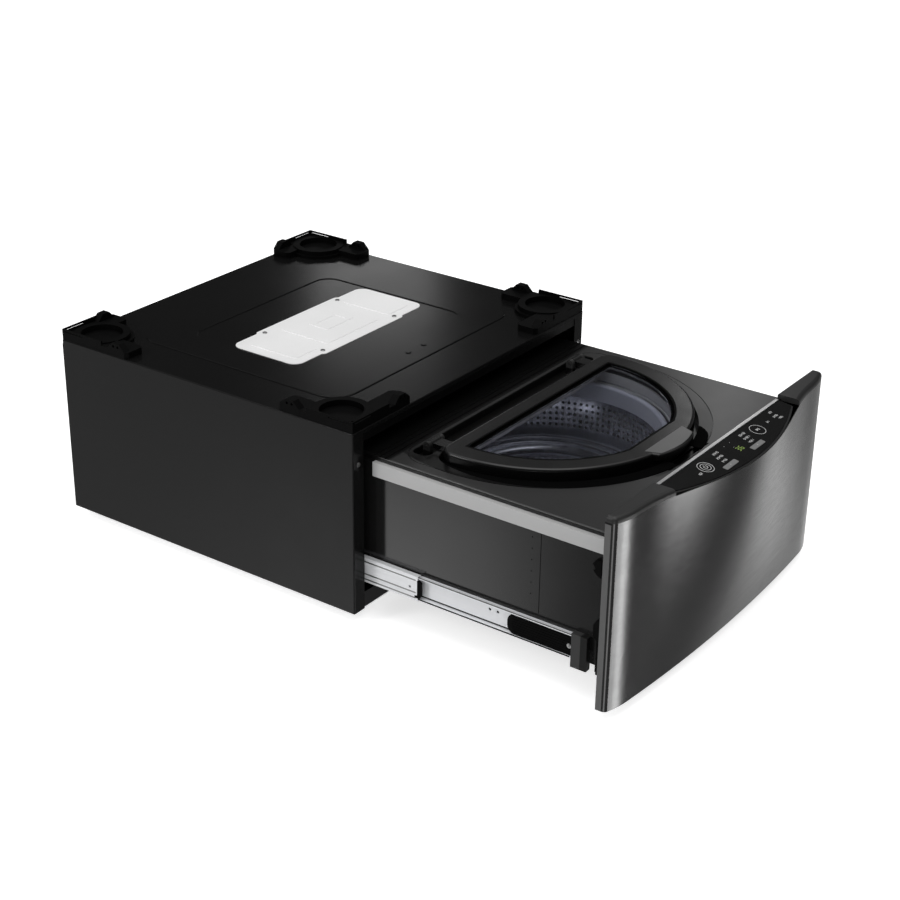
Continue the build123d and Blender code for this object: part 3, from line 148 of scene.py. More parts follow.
def one_axis(tree, vector, axis):
    """One part of a vector."""
    parts = tree.nodes.new("ShaderNodeSeparateXYZ")
    tree.links.new(vector, parts.inputs["Vector"])
    return parts.outputs[axis]


def noise(tree, scale, stretch=(1, 1, 1), detail=3.0):
    """Noise over the surface, stretched along the axes."""
    mapping = tree.nodes.new("ShaderNodeMapping")
    mapping.inputs["Scale"].default_value = stretch
    texture = tree.nodes.new("ShaderNodeTexNoise")
    texture.inputs["Scale"].default_value = scale
    texture.inputs["Detail"].default_value = detail
    tree.links.new(object_place(tree), mapping.inputs["Vector"])
    tree.links.new(mapping.outputs["Vector"], texture.inputs["Vector"])
    return texture.outputs["Fac"]


# Noise seldom leaves this range
noise_low = 0.3
noise_high = 0.7


def drift(tree, low, high, scale, stretch):
    """Noise brought to the range from low to high."""
    return ramp(tree, noise(tree, scale, stretch), noise_low, noise_high, low, high)


# Materials

def grey(value):
    """A neutral tone."""
    return (value, value, value)


def shader_of(material):
    """The material's main shader."""
    return material.node_tree.nodes["Principled BSDF"]


def new_material(name, colour, roughness, metallic=0.0, specular=0.5):
    """A material with its main shader set to plain values."""
    material = bpy.data.materials.new(name)
    material.use_nodes = True
    shader = shader_of(material)
    shader.inputs["Base Color"].default_value = (*colour, 1)
    shader.inputs["Roughness"].default_value = roughness
    shader.inputs["Metallic"].default_value = metallic
    shader.inputs["Specular IOR Level"].default_value = specular
    return material


def vary_roughness(material, low, high, scale, stretch=(1, 1, 1)):
    """Roughness that changes over the surface."""
    tree = material.node_tree
    tree.links.new(drift(tree, low, high, scale, stretch), shader_of(material).inputs["Roughness"])


def vary_colour(material, colour, scale, stretch=(1, 1, 1), darker=0.95, paler=1.05):
    """Colour that drifts between a darker and a paler share of itself."""
    tree = material.node_tree
    one = [channel * darker for channel in colour]
    two = [min(1.0, channel * paler) for channel in colour]
    mixed = blend_colours(tree, drift(tree, 0.0, 1.0, scale, stretch), (*one, 1), (*two, 1))
    tree.links.new(mixed, shader_of(material).inputs["Base Color"])


def bump(material, scale, height, strength, stretch=(1, 1, 1), detail=3.0):
    """Small relief over the surface, this many metres high."""
    tree = material.node_tree
    relief = tree.nodes.new("ShaderNodeBump")
    relief.inputs["Strength"].default_value = strength
    relief.inputs["Distance"].default_value = height
    tree.links.new(noise(tree, scale, stretch, detail), relief.inputs["Height"])
    tree.links.new(relief.outputs["Normal"], shader_of(material).inputs["Normal"])


# Scales of the patches and of the fine relief, and heights of the relief
paint_patches = (5.0, 9.0)
plastic_patches = (12.0, 30.0)
line_patches = 60.0
peel_scale = 260.0
peel_height = 0.00001
grain_scale = 1200.0
grain_height = 0.000008
line_height = 0.000006
line_stretch = 0.012
wave_scale = 60.0


def paint(name, tone, roughness, specular, peel=0.3):
    """Sprayed and baked paint with a slight orange peel."""
    material = new_material(name, grey(tone), roughness, specular=specular)
    vary_colour(material, grey(tone), paint_patches[0])
    vary_roughness(material, roughness - 0.01, roughness + 0.015, paint_patches[1])
    bump(material, peel_scale, peel_height, peel, detail=1.0)
    return material


def plastic(name, colour, roughness, specular, grain=0.3, patches=0.025):
    """Moulded plastic with the fine spark-eroded grain of its tool."""
    material = new_material(name, colour, roughness, specular=specular)
    vary_colour(material, colour, plastic_patches[0])
    vary_roughness(material, roughness - patches, roughness + patches, plastic_patches[1])
    bump(material, grain_scale, grain_height, grain, detail=1.0)
    return material


def metal(name, colour, roughness, along, grain=0.3, line_scale=600.0, metallic=1.0, patches=0.045):
    """Metal with fine lines along one axis, from rolling or brushing."""
    lines = [line_stretch if axis == along else 1.0 for axis in "xyz"]
    material = new_material(name, colour, roughness, metallic=metallic)
    vary_colour(material, colour, line_patches, lines, paler=1.04)
    vary_roughness(material, roughness - patches, roughness + patches, line_scale, lines)
    if grain:
        bump(material, line_scale * 2, line_height, grain, lines)
    return material


def brushed_front(name):
    """Dark coated sheet brushed sideways, which draws highlights out upright."""
    material = metal(name, grey(0.125), 0.25, "x", 0.0, 300.0, patches=0.02)
    shader = shader_of(material)
    shader.inputs["Anisotropic"].default_value = 0.7
    shader.inputs["Anisotropic Rotation"].default_value = 0.25
    sideways = material.node_tree.nodes.new("ShaderNodeCombineXYZ")
    sideways.inputs["X"].default_value = 1
    material.node_tree.links.new(sideways.outputs["Vector"], shader.inputs["Tangent"])
    return material


def gloss_panel(name):
    """Hard coated black acrylic with the faintest waviness."""
    tone = grey(0.008)
    material = new_material(name, tone, 0.16, specular=0.4)
    vary_colour(material, tone, plastic_patches[0], darker=0.875, paler=1.25)
    vary_roughness(material, 0.15, 0.18, 25.0)
    bump(material, wave_scale, peel_height, 0.1)
    return material


def window_glass(name):
    """Tinted see-through plastic."""
    material = new_material(name, (0.86, 0.87, 0.92), 0.01)
    shader = shader_of(material)
    shader.inputs["Transmission Weight"].default_value = 1.0
    shader.inputs["IOR"].default_value = 1.15
    vary_roughness(material, 0.0, 0.02, 30.0)
    return material


def glow(name, colour, strength):
    """A lit mark behind the control panel."""
    material = new_material(name, [channel / 2 for channel in colour], 0.3)
    vary_roughness(material, 0.25, 0.4, 300.0)
    shader = shader_of(material)
    shader.inputs["Emission Color"].default_value = (*colour, 1)
    shader.inputs["Emission Strength"].default_value = strength
    return material


# Paints: tone, roughness, specular level and orange peel
cabinet_paint = paint("cabinet_paint", 0.005, 0.2, 0.2)
drawer_paint = paint("drawer_paint", 0.009, 0.13, 0.5)
black_paint = paint("black_paint", 0.003, 0.4, 0.1)
white_paint = paint("white_paint", 0.86, 0.35, 0.35)
cast_iron = paint("cast_iron", 0.16, 0.7, 0.3, 0.8)
# Plastics: colour, roughness, specular level, grain and drift of the roughness
black_plastic = plastic("black_plastic", grey(0.002), 0.5, 0.06)
# This matt black is painted shade, laid on the cover round the lid
painted_shade_black = plastic("painted_shade_black", grey(0.002), 0.9, 0.02)
dark_plastic = plastic("dark_plastic", grey(0.024), 0.36, 0.35)
bracket_plastic = plastic("bracket_plastic", grey(0.04), 0.4, 0.3)
cover_plastic = plastic("cover_plastic", grey(0.03), 0.28, 0.45, 0.02, 0.006)
lid_plastic = plastic("lid_plastic", grey(0.014), 0.24, 0.4, 0.02)
pad_plastic = plastic("pad_plastic", grey(0.11), 0.32, 0.35)
key_plastic = plastic("key_plastic", grey(0.2), 0.4, 0.35)
ring_plastic = plastic("ring_plastic", (0.33, 0.34, 0.38), 0.3, 0.4)
tub_plastic = plastic("tub_plastic", grey(0.5), 0.5, 0.4)
rubber = plastic("rubber", grey(0.014), 0.75, 0.3, 0.6)
board_resin = plastic("board_resin", (0.02, 0.14, 0.06), 0.4, 0.5)
print_grey = plastic("print_grey", grey(0.6), 0.45, 0.3)
# Metals: colour, roughness, and the lines' axis, depth and scale
front_paint = brushed_front("front_paint")
zinc_steel = metal("zinc_steel", (0.85, 0.86, 0.88), 0.36, "y", metallic=0.12)
rail_steel = metal("rail_steel", (0.85, 0.86, 0.88), 0.36, "y", metallic=0.12)
# The shoulder bands' pale grey is a painted highlight, for the light that their bevelled edge mirrors
band_steel = metal("band_steel", grey(0.48), 0.32, "y", metallic=0.15)
frame_steel = metal("frame_steel", grey(0.14), 0.34, "z", metallic=0.5)
drum_steel = metal("drum_steel", (0.72, 0.73, 0.78), 0.16, "z", 0.1, 300.0, metallic=0.85)
dish_finish = metal("dish_finish", (0.74, 0.75, 0.8), 0.18, "z", 0.05, 200.0, metallic=0.9)
screw_steel = metal("screw_steel", grey(0.55), 0.3, "x")
trim_silver = metal("trim_silver", grey(0.9), 0.3, "x")
dark_steel = metal("dark_steel", grey(0.3), 0.35, "z")
brass = metal("brass", (0.7, 0.52, 0.24), 0.3, "y")
cast_aluminium = metal("cast_aluminium", grey(0.6), 0.4, "z", 0.6, 200.0)
panel_gloss = gloss_panel("panel_gloss")
glass = window_glass("window_glass")
lit_green = glow("lit_green", (0.34, 0.5, 0.12), 0.25)


# Changes of tone, most of them painted shade and painted light: shares that go from 0 to 1 over a blur to
# each side of a limit, or back where the blur is negative

def past(material, axis, change, kind="Object"):
    """Whether a point of the object, or its surface direction, is past a limit."""
    tree = material.node_tree
    limit, blur = change
    value = one_axis(tree, object_place(tree, kind), axis)
    return ramp(tree, value, limit - blur, limit + blur)


def past_axis(material, centre, change, direction=None):
    """Whether a point is past a distance from an upright axis, or past it in one direction."""
    tree = material.node_tree
    limit, blur = change
    flat = tree.nodes.new("ShaderNodeVectorMath")
    flat.operation = "MULTIPLY_ADD"
    flat.inputs[1].default_value = (1, 1, 0)
    flat.inputs[2].default_value = (-centre.x, -centre.y, 0)
    tree.links.new(object_place(tree), flat.inputs[0])
    reach = tree.nodes.new("ShaderNodeVectorMath")
    reach.operation = "LENGTH"
    if direction:
        reach.operation = "DOT_PRODUCT"
        reach.inputs[1].default_value = direction
    tree.links.new(flat.outputs["Vector"], reach.inputs[0])
    return ramp(tree, reach.outputs["Value"], limit - blur, limit + blur)


def tone_and_shade_where(material, tone, *shares):
    """Goes over to another tone where all the shares are 1."""
    tree = material.node_tree
    base = shader_of(material).inputs["Base Color"]
    share = shares[0]
    for other in shares[1:]:
        share = calc(tree, "MULTIPLY", share, other)
    mixed = blend_colours(tree, share, base.links[0].from_socket, (*grey(tone), 1))
    tree.links.new(mixed, base)


# Tones: the mouth and throat tones are painted light, the fold tone a painted highlight, the rail tone
# painted shade, and jet and near black mostly painted shade
jet = 0.002
near_black = 0.003
rail_shade_tone = 0.01
throat_painted_light = 0.12
fold_highlight_tone = 0.28
mouth_painted_light = 0.3
# Limits, each with its blur
cover_rear_y = (-0.111, 0.003)
cover_groove_z = (0.299, -0.0006)
hollow_radius = (0.2835, -0.0003)
hollow_side = (-0.55, -0.83, 0)
hollow_start = (0.06, 0.04)
mouth_radius = (0.214, -0.0005)
mouth_y = (-0.164, -0.001)
lid_edge = (0.55, -0.25)
lid_wall = (0.4, -0.1)
throat_radius = (0.22, -0.0005)
throat_y = (-0.2075, -0.0015)
fold_x = (-0.3415, -0.0003)
fold_z = (0.3485, 0.0003)
rail_edge_z = (0.1096, 0.0002)
frame_edge_z = (0.3388, 0.0002)
bracket_edge = (-0.6, -0.2)
bracket_front_y = (-0.487, -0.0005)


def paint_tones_light_and_shade():
    """The places where the colour goes over to another tone, most of them painted shade and painted
    light.
    """
    # The cover is darkened to painted shade behind the lid, down in its hollows and in the hollow on the
    # front left
    cover = cover_plastic
    # Painted shade on the strip behind the lid
    tone_and_shade_where(cover, near_black, past(cover, "Y", cover_rear_y))
    # Painted shade: the cover below its top face, down in the hollows and recesses, is set black
    tone_and_shade_where(cover, jet, past(cover, "Z", cover_groove_z))
    # Painted shade in the hollow round the lid, on its front-left side, fading out to the right
    hollow = past_axis(cover, ring_centre, hollow_radius)
    tone_and_shade_where(cover, jet, hollow, past_axis(cover, ring_centre, hollow_start, hollow_side))
    # Painted light: round the drum's mouth the cover is painted as pale as the ring below it
    mouth = past_axis(cover, drum_centre, mouth_radius)
    tone_and_shade_where(cover, mouth_painted_light, mouth, past(cover, "Y", mouth_y))
    # The lid's walls are darkened to painted shade, and the curved wall below the window is painted
    # paler, as painted light
    lid = lid_plastic
    tone_and_shade_where(lid, jet, past(lid, "Z", lid_edge, "Normal"))
    # Painted light: the curved wall below the window is paler than the other walls
    wall = past(lid, "Z", lid_wall, "Normal")
    throat = past_axis(lid, drum_centre, throat_radius)
    tone_and_shade_where(lid, throat_painted_light, wall, throat, past(lid, "Y", throat_y))
    # The fold along the cabinet's left edge has a painted highlight, a paler line
    fold = past(cabinet_paint, "X", fold_x)
    tone_and_shade_where(cabinet_paint, fold_highlight_tone, fold, past(cabinet_paint, "Z", fold_z))
    # The rails' upper edges are painted shade, the frame's upper edge is near black, the end brackets'
    # faces that turn to the front are painted shade and their fronts are black
    # Painted shade along the rails' upper edge
    tone_and_shade_where(rail_steel, rail_shade_tone, past(rail_steel, "Z", rail_edge_z))
    tone_and_shade_where(frame_steel, near_black, past(frame_steel, "Z", frame_edge_z))
    # Painted shade on the end brackets' faces that turn to the front
    tone_and_shade_where(bracket_plastic, jet, past(bracket_plastic, "Y", bracket_edge, "Normal"))
    tone_and_shade_where(bracket_plastic, jet, past(bracket_plastic, "Y", bracket_front_y))


paint_tones_light_and_shade()

node_materials = {
    cabinet_paint: "side_panel_left side_panel_right rear_panel top_plate",
    drawer_paint: "drawer_side_left drawer_side_right drawer_floor drawer_rear",
    black_paint: "front_rails",
    white_paint: "service_plate",
    black_plastic: "power_inlet slide_covers",
    dark_plastic: "drain_outlet end_blocks drain_pump control_housing",
    bracket_plastic: "slide_end_brackets",
    cover_plastic: "tub_cover",
    lid_plastic: "lid_frame",
    pad_plastic: "lid_handle_pad",
    key_plastic: "option_key_left option_key_right",
    ring_plastic: "balance_ring",
    tub_plastic: "outer_tub",
    rubber: "tub_gasket drain_hose",
    board_resin: "control_board",
    front_paint: "front_shell",
    zinc_steel: "base_plate slide_brackets slide_outer_members slide_middle_members",
    rail_steel: "slide_inner_members",
    band_steel: "shoulder_bands",
    frame_steel: "front_frame",
    trim_silver: "trim_strip",
    dark_steel: "suspension_rods lid_hinge_pins pulsator_shaft motor_rotor motor_stator",
    brass: "inlet_valve",
    cast_iron: "counterweight",
    cast_aluminium: "basket_hub",
    panel_gloss: "control_panel power_button start_button",
    glass: "lid_window",
}


def dress(name, material):
    """Gives a node of the model its material."""
    slots = frame["nodes"][name].data.materials
    slots.clear()
    slots.append(material)


for material, names in node_materials.items():
    for name in names.split():
        dress(name, material)
for corner in ("front_left", "front_right", "rear_left", "rear_right"):
    dress(f"corner_bracket_{corner}", black_plastic)
    dress(f"foot_{corner}", rubber)


# Mesh helpers

def part_turn(sweep, steps):
    """Angles from nought to a sweep, both ends among them."""
    return [sweep * step / steps for step in range(steps + 1)]


def full_turn(steps):
    """Angles round a circle, each once."""
    return [2 * pi * step / steps for step in range(steps)]


def outward(turn):
    """The level direction of a turn."""
    return Vector((cos(turn), sin(turn), 0))


class Form:
    """Points and faces that grow into one mesh piece."""

    def __init__(self):
        self.points = []
        self.faces = []

    def loops(self, rings, closed_ends=False):
        """A skin over rings of points that have the same number of points."""
        start = len(self.points)
        count = len(rings[0])
        for ring in rings:
            self.points.extend(ring)
        last = start + (len(rings) - 1) * count
        for base in range(start, last, count):
            for corner in range(count):
                here = base + corner
                after = base + (corner + 1) % count
                self.faces.append((here, after, after + count, here + count))
        if closed_ends:
            self.faces.append(tuple(range(start + count - 1, start - 1, -1)))
            self.faces.append(tuple(range(last, last + count)))

    def prism(self, outline, place, low, high):
        """A flat slab from an outline; place turns a point across, along and up into space."""
        rings = [[place(across, along, up) for across, along in outline] for up in (low, high)]
        self.loops(rings, closed_ends=True)

    def piece(self, name, material, body, smooth=True):
        """The finished mesh, riding on a body."""
        mesh = bpy.data.meshes.new(name)
        mesh.from_pydata([tuple(point) for point in self.points], [], self.faces)
        mesh.validate()
        mesh.materials.append(material)
        if smooth:
            mesh.shade_smooth()
            mesh.set_sharp_from_angle(angle=sharp_angle)
        made = put(name, mesh)
        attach(made, body)
        return made


sharp_angle = radians(35)


def circle(radius, steps, across=0.0, along=0.0):
    """A round outline."""
    return [(across + radius * cos(turn), along + radius * sin(turn)) for turn in full_turn(steps)]


square_corners = ((-1, -1), (1, -1), (1, 1), (-1, 1))


def rectangle(across, along, width, length):
    """A rectangular outline about a middle."""
    return [(across + x * width / 2, along + y * length / 2) for x, y in square_corners]


def on_side(sign, reach):
    """Places a point on an upright surface that faces left or right; along Y, then up Z."""
    return lambda along, upward, out: Vector((sign * (reach + out), along, upward))


def drum_point(radius, turn, height):
    """A point on a circle round the drum's axis."""
    return Vector((drum_centre.x + radius * cos(turn), drum_centre.y + radius * sin(turn), height))


def revolve(form, profile, steps):
    """A skin turned round the drum's axis, from pairs of radius and height."""
    turns = full_turn(steps)
    form.loops([[drum_point(radius, turn, height) for turn in turns] for radius, height in profile])


# A pierced hole's flare: shares of its radius and of its depth
hole_flare = ((1.3, 0.0), (1.1, 0.3), (1.0, 1.0))


def pierce(form, surface, middle, half_cell, radii, depth):
    """One cell of a surface with a flared hole; surface turns u, v and depth into space."""
    square = [(1, 0), (1, 1), (0, 1), (-1, 1), (-1, 0), (-1, -1), (0, -1), (1, -1)]
    edge = [surface(middle[0] + u * half_cell[0], middle[1] + v * half_cell[1], 0.0) for u, v in square]
    rings = [edge]
    for size, sunk in hole_flare:
        ring = []
        for turn in full_turn(len(square)):
            u = middle[0] + size * radii[0] * cos(turn)
            v = middle[1] + size * radii[1] * sin(turn)
            ring.append(surface(u, v, depth * sunk))
        rings.append(ring)
    form.loops(rings)


# Wash basket: its wall is pierced by rows of holes
hole_rows = 5
hole_columns = 116
hole_radius = 0.0026
hole_row_low = 0.183
hole_row_high = 0.238
sheet_steel = 0.0012
rolled_bead = 0.0025
basket_corner = 8 * sheet_steel
corner_steps = 5
floor_rings = (0.12, 0.04)


def make_basket():
    """The basket's wall, floor and rim, one shell seen from inside."""
    wall = basket_high.x - sheet_steel
    floor = basket_low.z + sheet_steel
    form = Form()
    half_cell = pi / hole_columns
    half_pitch = (hole_row_high - hole_row_low) / hole_rows / 2
    for row in range(hole_rows):
        for column in range(hole_columns):
            pierce(
                form,
                lambda turn, height, depth: drum_point(wall + depth, turn, height),
                (2 * column * half_cell, hole_row_low + (2 * row + 1) * half_pitch),
                (half_cell, half_pitch),
                (hole_radius / wall, hole_radius),
                sheet_steel,
            )
    rim = [(wall, hole_row_high), (wall, basket_high.z - rolled_bead)]
    rim += [(wall - sheet_steel, basket_high.z - rolled_bead / 2), (wall, basket_high.z)]
    revolve(form, rim, hole_columns * 2)
    base = [(wall, hole_row_low)]
    for turn in part_turn(pi / 2, corner_steps):
        base.append((wall - basket_corner * (1 - cos(turn)), floor + basket_corner * (1 - sin(turn))))
    base += [(radius, floor) for radius in floor_rings]
    revolve(form, base, hole_columns * 2)
    return form.piece("basket_shell", drum_steel, "basket")


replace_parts(make_basket(), "wash_basket")

# Pulsator: a dish with two rolled rims, a ring of holes and six soft vanes
vane_count = 6
vane_rise = 0.011
vane_near = 0.05
vane_far = 0.118
vane_bulge = 0.6
vane_sharpness = 3
dish_hole_ring = 0.131
dish_holes = 72
dish_hole_radius = 0.0024
dish_hole_depth = 0.002
dish_hole_cell = 0.008
shelf_rise = 0.009
hub_rise = 0.012
hub_reach = 0.06
rim_wall_drop = 0.008
rim_bead = 0.0065
rim_steps = 8
# Rolled rims: crest in from the edge, crown down from the top
rim_beads = ((rim_bead, 0.0), (0.0205, 0.003))
# Slope down to the shelf: in from the edge, up from the shelf
dish_slope = ((0.032, 0.006), (0.04, 0.001))
# The rings inside the holes, and the last ones round the middle
shelf_pitch = 0.003
shelf_rings = 28
hub_rings = (0.0294, 0.0126, 0.001)


def make_dish():
    """The pulsator."""
    shelf = dish_low.z + shelf_rise
    rim = dish_high.x
    steps = 2 * dish_holes
    form = Form()

    def dish_height(radius, turn):
        """The dish's height where it carries the vanes."""
        along = (radius - vane_near) / (vane_far - vane_near)
        bulge = max(0.0, sin(pi * along)) ** vane_bulge if 0 < along < 1 else 0.0
        ridge = max(0.0, cos(vane_count * turn)) ** vane_sharpness
        cone = hub_rise * max(0.0, 1 - radius / hub_reach)
        return shelf + cone + vane_rise * bulge * ridge

    outer = [(rim, dish_low.z), (rim, dish_high.z - rim_wall_drop)]
    for inset, drop in rim_beads:
        for lean in part_turn(pi, rim_steps):
            height = dish_high.z - drop - rim_bead * (1 - sin(lean))
            outer.append((rim - inset + rim_bead * cos(lean), height))
    outer += [(rim - inset, shelf + rise) for inset, rise in dish_slope]
    outer.append((dish_hole_ring + dish_hole_cell, shelf))
    revolve(form, outer, steps)
    half_cell = pi / dish_holes
    for column in range(dish_holes):
        pierce(
            form,
            lambda turn, radius, depth: drum_point(radius, turn, shelf - depth),
            (2 * column * half_cell, dish_hole_ring),
            (half_cell, dish_hole_cell),
            (dish_hole_radius / dish_hole_ring, dish_hole_radius),
            dish_hole_depth,
        )
    inside = dish_hole_ring - dish_hole_cell
    radii = [inside - step * shelf_pitch for step in range(shelf_rings)] + list(hub_rings)
    turns = full_turn(steps)
    rings = [[drum_point(radius, turn, dish_height(radius, turn)) for turn in turns] for radius in radii]
    form.loops(rings)
    return form.piece("pulsator_dish", dish_finish, "pulsator_drive")


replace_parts(make_dish(), "pulsator")

# Screws with a cross recess: in the service plate and in the front flanges
service_screw_x = 0.103
service_screw_y = 0.067
screw_head = 0.0042
screw_rise = 0.0018
screw_shank = 0.002
screw_length = 0.008
screw_steps = 32
# Profiles: shares of the shank's radius and length, and of the head's radius and rise
shank_shape = ((0.2, 1.0), (0.6, 1.0), (1.0, 0.85), (1.0, 0.0))
head_shape = ((1.0, 0.0), (1.0, 0.4), (0.85, 0.8), (0.66, 1.0))
# The recess: core and arms as shares of the head, then shares of its reach and depth
cross_core = 0.22
cross_arm = 0.36
cross_sharpness = 6
recess_depth = 0.0011
recess_shape = ((1.0, 0.0), (0.8, 1.0), (0.1, 1.0))


def add_screw(form, place):
    """One pan-head screw; place turns a point across, along and up into space."""
    turns = full_turn(screw_steps)
    profile = [(screw_shank * wide, -screw_length * deep) for wide, deep in shank_shape]
    profile += [(screw_head * wide, screw_rise * high) for wide, high in head_shape]
    rings = []
    for radius, up in profile:
        rings.append([place(radius * cos(turn), radius * sin(turn), up) for turn in turns])
    for wide, deep in recess_shape:
        ring = []
        for turn in turns:
            reach = wide * screw_head * (cross_core + cross_arm * abs(cos(2 * turn)) ** cross_sharpness)
            ring.append(place(reach * cos(turn), reach * sin(turn), screw_rise - recess_depth * deep))
        rings.append(ring)
    form.loops(rings)


def make_screws():
    """All six screws of the cabinet."""
    low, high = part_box("cabinet_screws")
    plate_low, plate_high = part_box("service_plate")
    middle = Vector((0, (plate_low.y + plate_high.y) / 2, high.z - screw_rise))
    form = Form()
    for x, y in square_corners:
        spot = middle + Vector((x * service_screw_x, y * service_screw_y, 0))
        add_screw(form, lambda across, along, up, spot=spot: spot + Vector((across, along, up)))
    for sign in (-1, 1):
        spot = Vector((sign * (high.x - screw_head), front_plane, low.z + screw_head))
        add_screw(form, lambda across, along, up, spot=spot: spot + Vector((across, -up, along)))
    return form.piece("screw_heads", dark_steel, "cabinet")


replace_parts(make_screws(), "cabinet_screws")

# Suspension springs: one coil below each rod's cup
spring_turns = 5
spring_turn_steps = 24
spring_wire = 0.0014
wire_sides = 8


def make_springs():
    """The four coil springs at the feet of the suspension rods."""
    low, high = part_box("suspension_springs")
    radius = (high.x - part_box("suspension_rods")[1].x) - spring_wire
    inset = radius + spring_wire
    rise = high.z - low.z - 2 * spring_wire
    steps = spring_turns * spring_turn_steps
    form = Form()
    for x, y in square_corners:
        across = low.x + inset if x < 0 else high.x - inset
        along = low.y + inset if y < 0 else high.y - inset
        rings = []
        for step, turn in enumerate(part_turn(2 * pi * spring_turns, steps)):
            out = outward(turn)
            middle = Vector((across, along, low.z + spring_wire + rise * step / steps)) + out * radius
            ring = []
            for lean in full_turn(wire_sides):
                ring.append(middle + spring_wire * (out * cos(lean) + Vector((0, 0, sin(lean)))))
            rings.append(ring)
        form.loops(rings, closed_ends=True)
    return form.piece("coil_springs", dark_steel, "drawer")


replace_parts(make_springs(), "suspension_springs")

# Window seal: a thin black outline that fills the step between the glass and the lid
seal_width = 0.0034
seal_rise = 0.0004
seal_lap = 0.0005
window_shift = 0.006
window_steps = 32


def window_edge(grow):
    """The window's outline: an arc cut straight at the front and the rear."""
    low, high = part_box("lid_window")
    radius = high.x + grow
    centre = drum_centre.y + window_shift
    rear = asin((high.y + grow - centre) / radius)
    front = asin((low.y - grow - centre) / radius)
    edge = []
    for sign, first, last in ((1, rear, front), (-1, front, rear)):
        for step in range(window_steps + 1):
            turn = first + (last - first) * step / window_steps
            edge.append((sign * radius * cos(turn), centre + radius * sin(turn)))
    return edge


def make_window_outline():
    """The seal round the window."""
    glass_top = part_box("lid_window")[1].z
    lid_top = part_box("lid_frame")[1].z
    form = Form()
    rings = []
    for grow, height in (
        (-seal_lap, glass_top - seal_rise),
        (-seal_lap, lid_top),
        (0.0, lid_top + seal_rise),
        (seal_width - seal_lap, lid_top + seal_rise),
        (seal_width, lid_top),
        (seal_width, lid_top - seal_rise),
    ):
        rings.append([Vector((x, y, height)) for x, y in window_edge(grow)])
    rings.append(rings[0])
    form.loops(rings)
    form.piece("window_outline", black_plastic, "lid")


make_window_outline()

# Painted shade round the lid: a thin matt black sheet on the cover, which tapers away on both sides of
# the hollow
shade_near = 0.2598
shade_far = 0.2826
shade_edge = 0.0006
shade_rise = 0.0004
shade_steps = 48
shade_taper = 0.9
taper_sharpness = 4
# Arcs: broad end and tip, in degrees round the ring's centre
shade_arcs = ((262, 176), (278, 296))
cover_face = 0.301


def make_lid_painted_shade():
    """The painted shade round the front of the lid."""
    form = Form()
    for root, tip in shade_arcs:
        rings = []
        for step in range(shade_steps + 1):
            share = step / shade_steps
            out = outward(radians(root + (tip - root) * share))
            width = (shade_far - shade_near) * (1 - shade_taper * share ** taper_sharpness)
            far = shade_near + width
            section = [
                (shade_near, -shade_rise),
                (shade_near, shade_rise / 2),
                (shade_near + shade_edge, shade_rise),
                (far - shade_edge, shade_rise),
                (far, shade_rise / 2),
                (far, -shade_rise),
            ]
            if tip < root:
                section.reverse()
            middle = ring_centre + Vector((0, 0, cover_face))
            rings.append([middle + radius * out + Vector((0, 0, up)) for radius, up in section])
        form.loops(rings, closed_ends=True)
    form.piece("lid_painted_shade", painted_shade_black, "drawer")


make_lid_painted_shade()

# Marks printed on the sloping control panel: plain numerals, rings and dots
strip_slope = atan(0.147)
strip_origin = Vector((0, panel_high.y + 0.0006, panel_high.z + 0.0001))
print_sunk = 0.0001
print_proud = 0.00012
key_top = 0.0003
ring_step = radians(9)
dot_sides = 20


def on_strip(across, down, up):
    """A point on the sloping control panel, down from its rear edge."""
    along = -down * cos(strip_slope) - up * sin(strip_slope)
    rise = up * cos(strip_slope) - down * sin(strip_slope)
    return strip_origin + Vector((across, along, rise))


def print_mark(form, outline, lift):
    """A thin printed slab on the panel or, lifted, on a key."""
    form.prism(outline, on_strip, lift - print_sunk, lift + print_proud)


def arc_mark(form, across, down, radius, width, lift=0.0, start=0.0, sweep=2 * pi):
    """A printed ring or part of one."""
    steps = round(sweep / ring_step)
    turns = [start + turn for turn in part_turn(sweep, steps)]
    outer, inner = [
        [(across + reach * sin(turn), down - reach * cos(turn)) for turn in turns]
        for reach in (radius + width / 2, radius - width / 2)
    ]
    for step in range(steps):
        print_mark(form, [inner[step], inner[step + 1], outer[step + 1], outer[step]], lift)


def dot_mark(form, across, down, radius, lift=0.0):
    """A printed or lit dot."""
    print_mark(form, circle(radius, dot_sides, across, down), lift)


def bar_mark(form, across, down, width, length, lift=0.0):
    """A printed bar."""
    print_mark(form, rectangle(across, down, width, length), lift)


# A numeral's seven bars, by shares of its half width and half height; the middle ones are level
numeral_bars = ((0, -1), (-1, -0.5), (1, -0.5), (0, 0), (-1, 0.5), (1, 0.5), (0, 1))
# The bars that each numeral leaves out
numeral_dark = {
    "0": (3,),
    "1": (0, 1, 3, 4, 6),
    "2": (1, 5),
    "3": (1, 4),
    "4": (0, 4, 6),
    "5": (2, 4),
    "6": (2,),
    "8": (),
}
# Shares of a numeral's height: pitch, half width and lengths of the bars
numeral_pitch = 0.95
numeral_half = 0.27
level_bar = 0.42
upright_bar = 0.4


def numerals(form, text, across, down, height=0.0038, stroke=0.0009):
    """Plain numerals in a row about a middle."""
    for place, sign in enumerate(text):
        middle = across + (place - (len(text) - 1) / 2) * height * numeral_pitch
        for bar, (shift_across, shift_down) in enumerate(numeral_bars):
            if bar in numeral_dark[sign]:
                continue
            width = stroke if shift_across else height * level_bar
            length = height * upright_bar if shift_across else stroke
            x = middle + shift_across * height * numeral_half
            bar_mark(form, x, down + shift_down * height / 2, width, length)


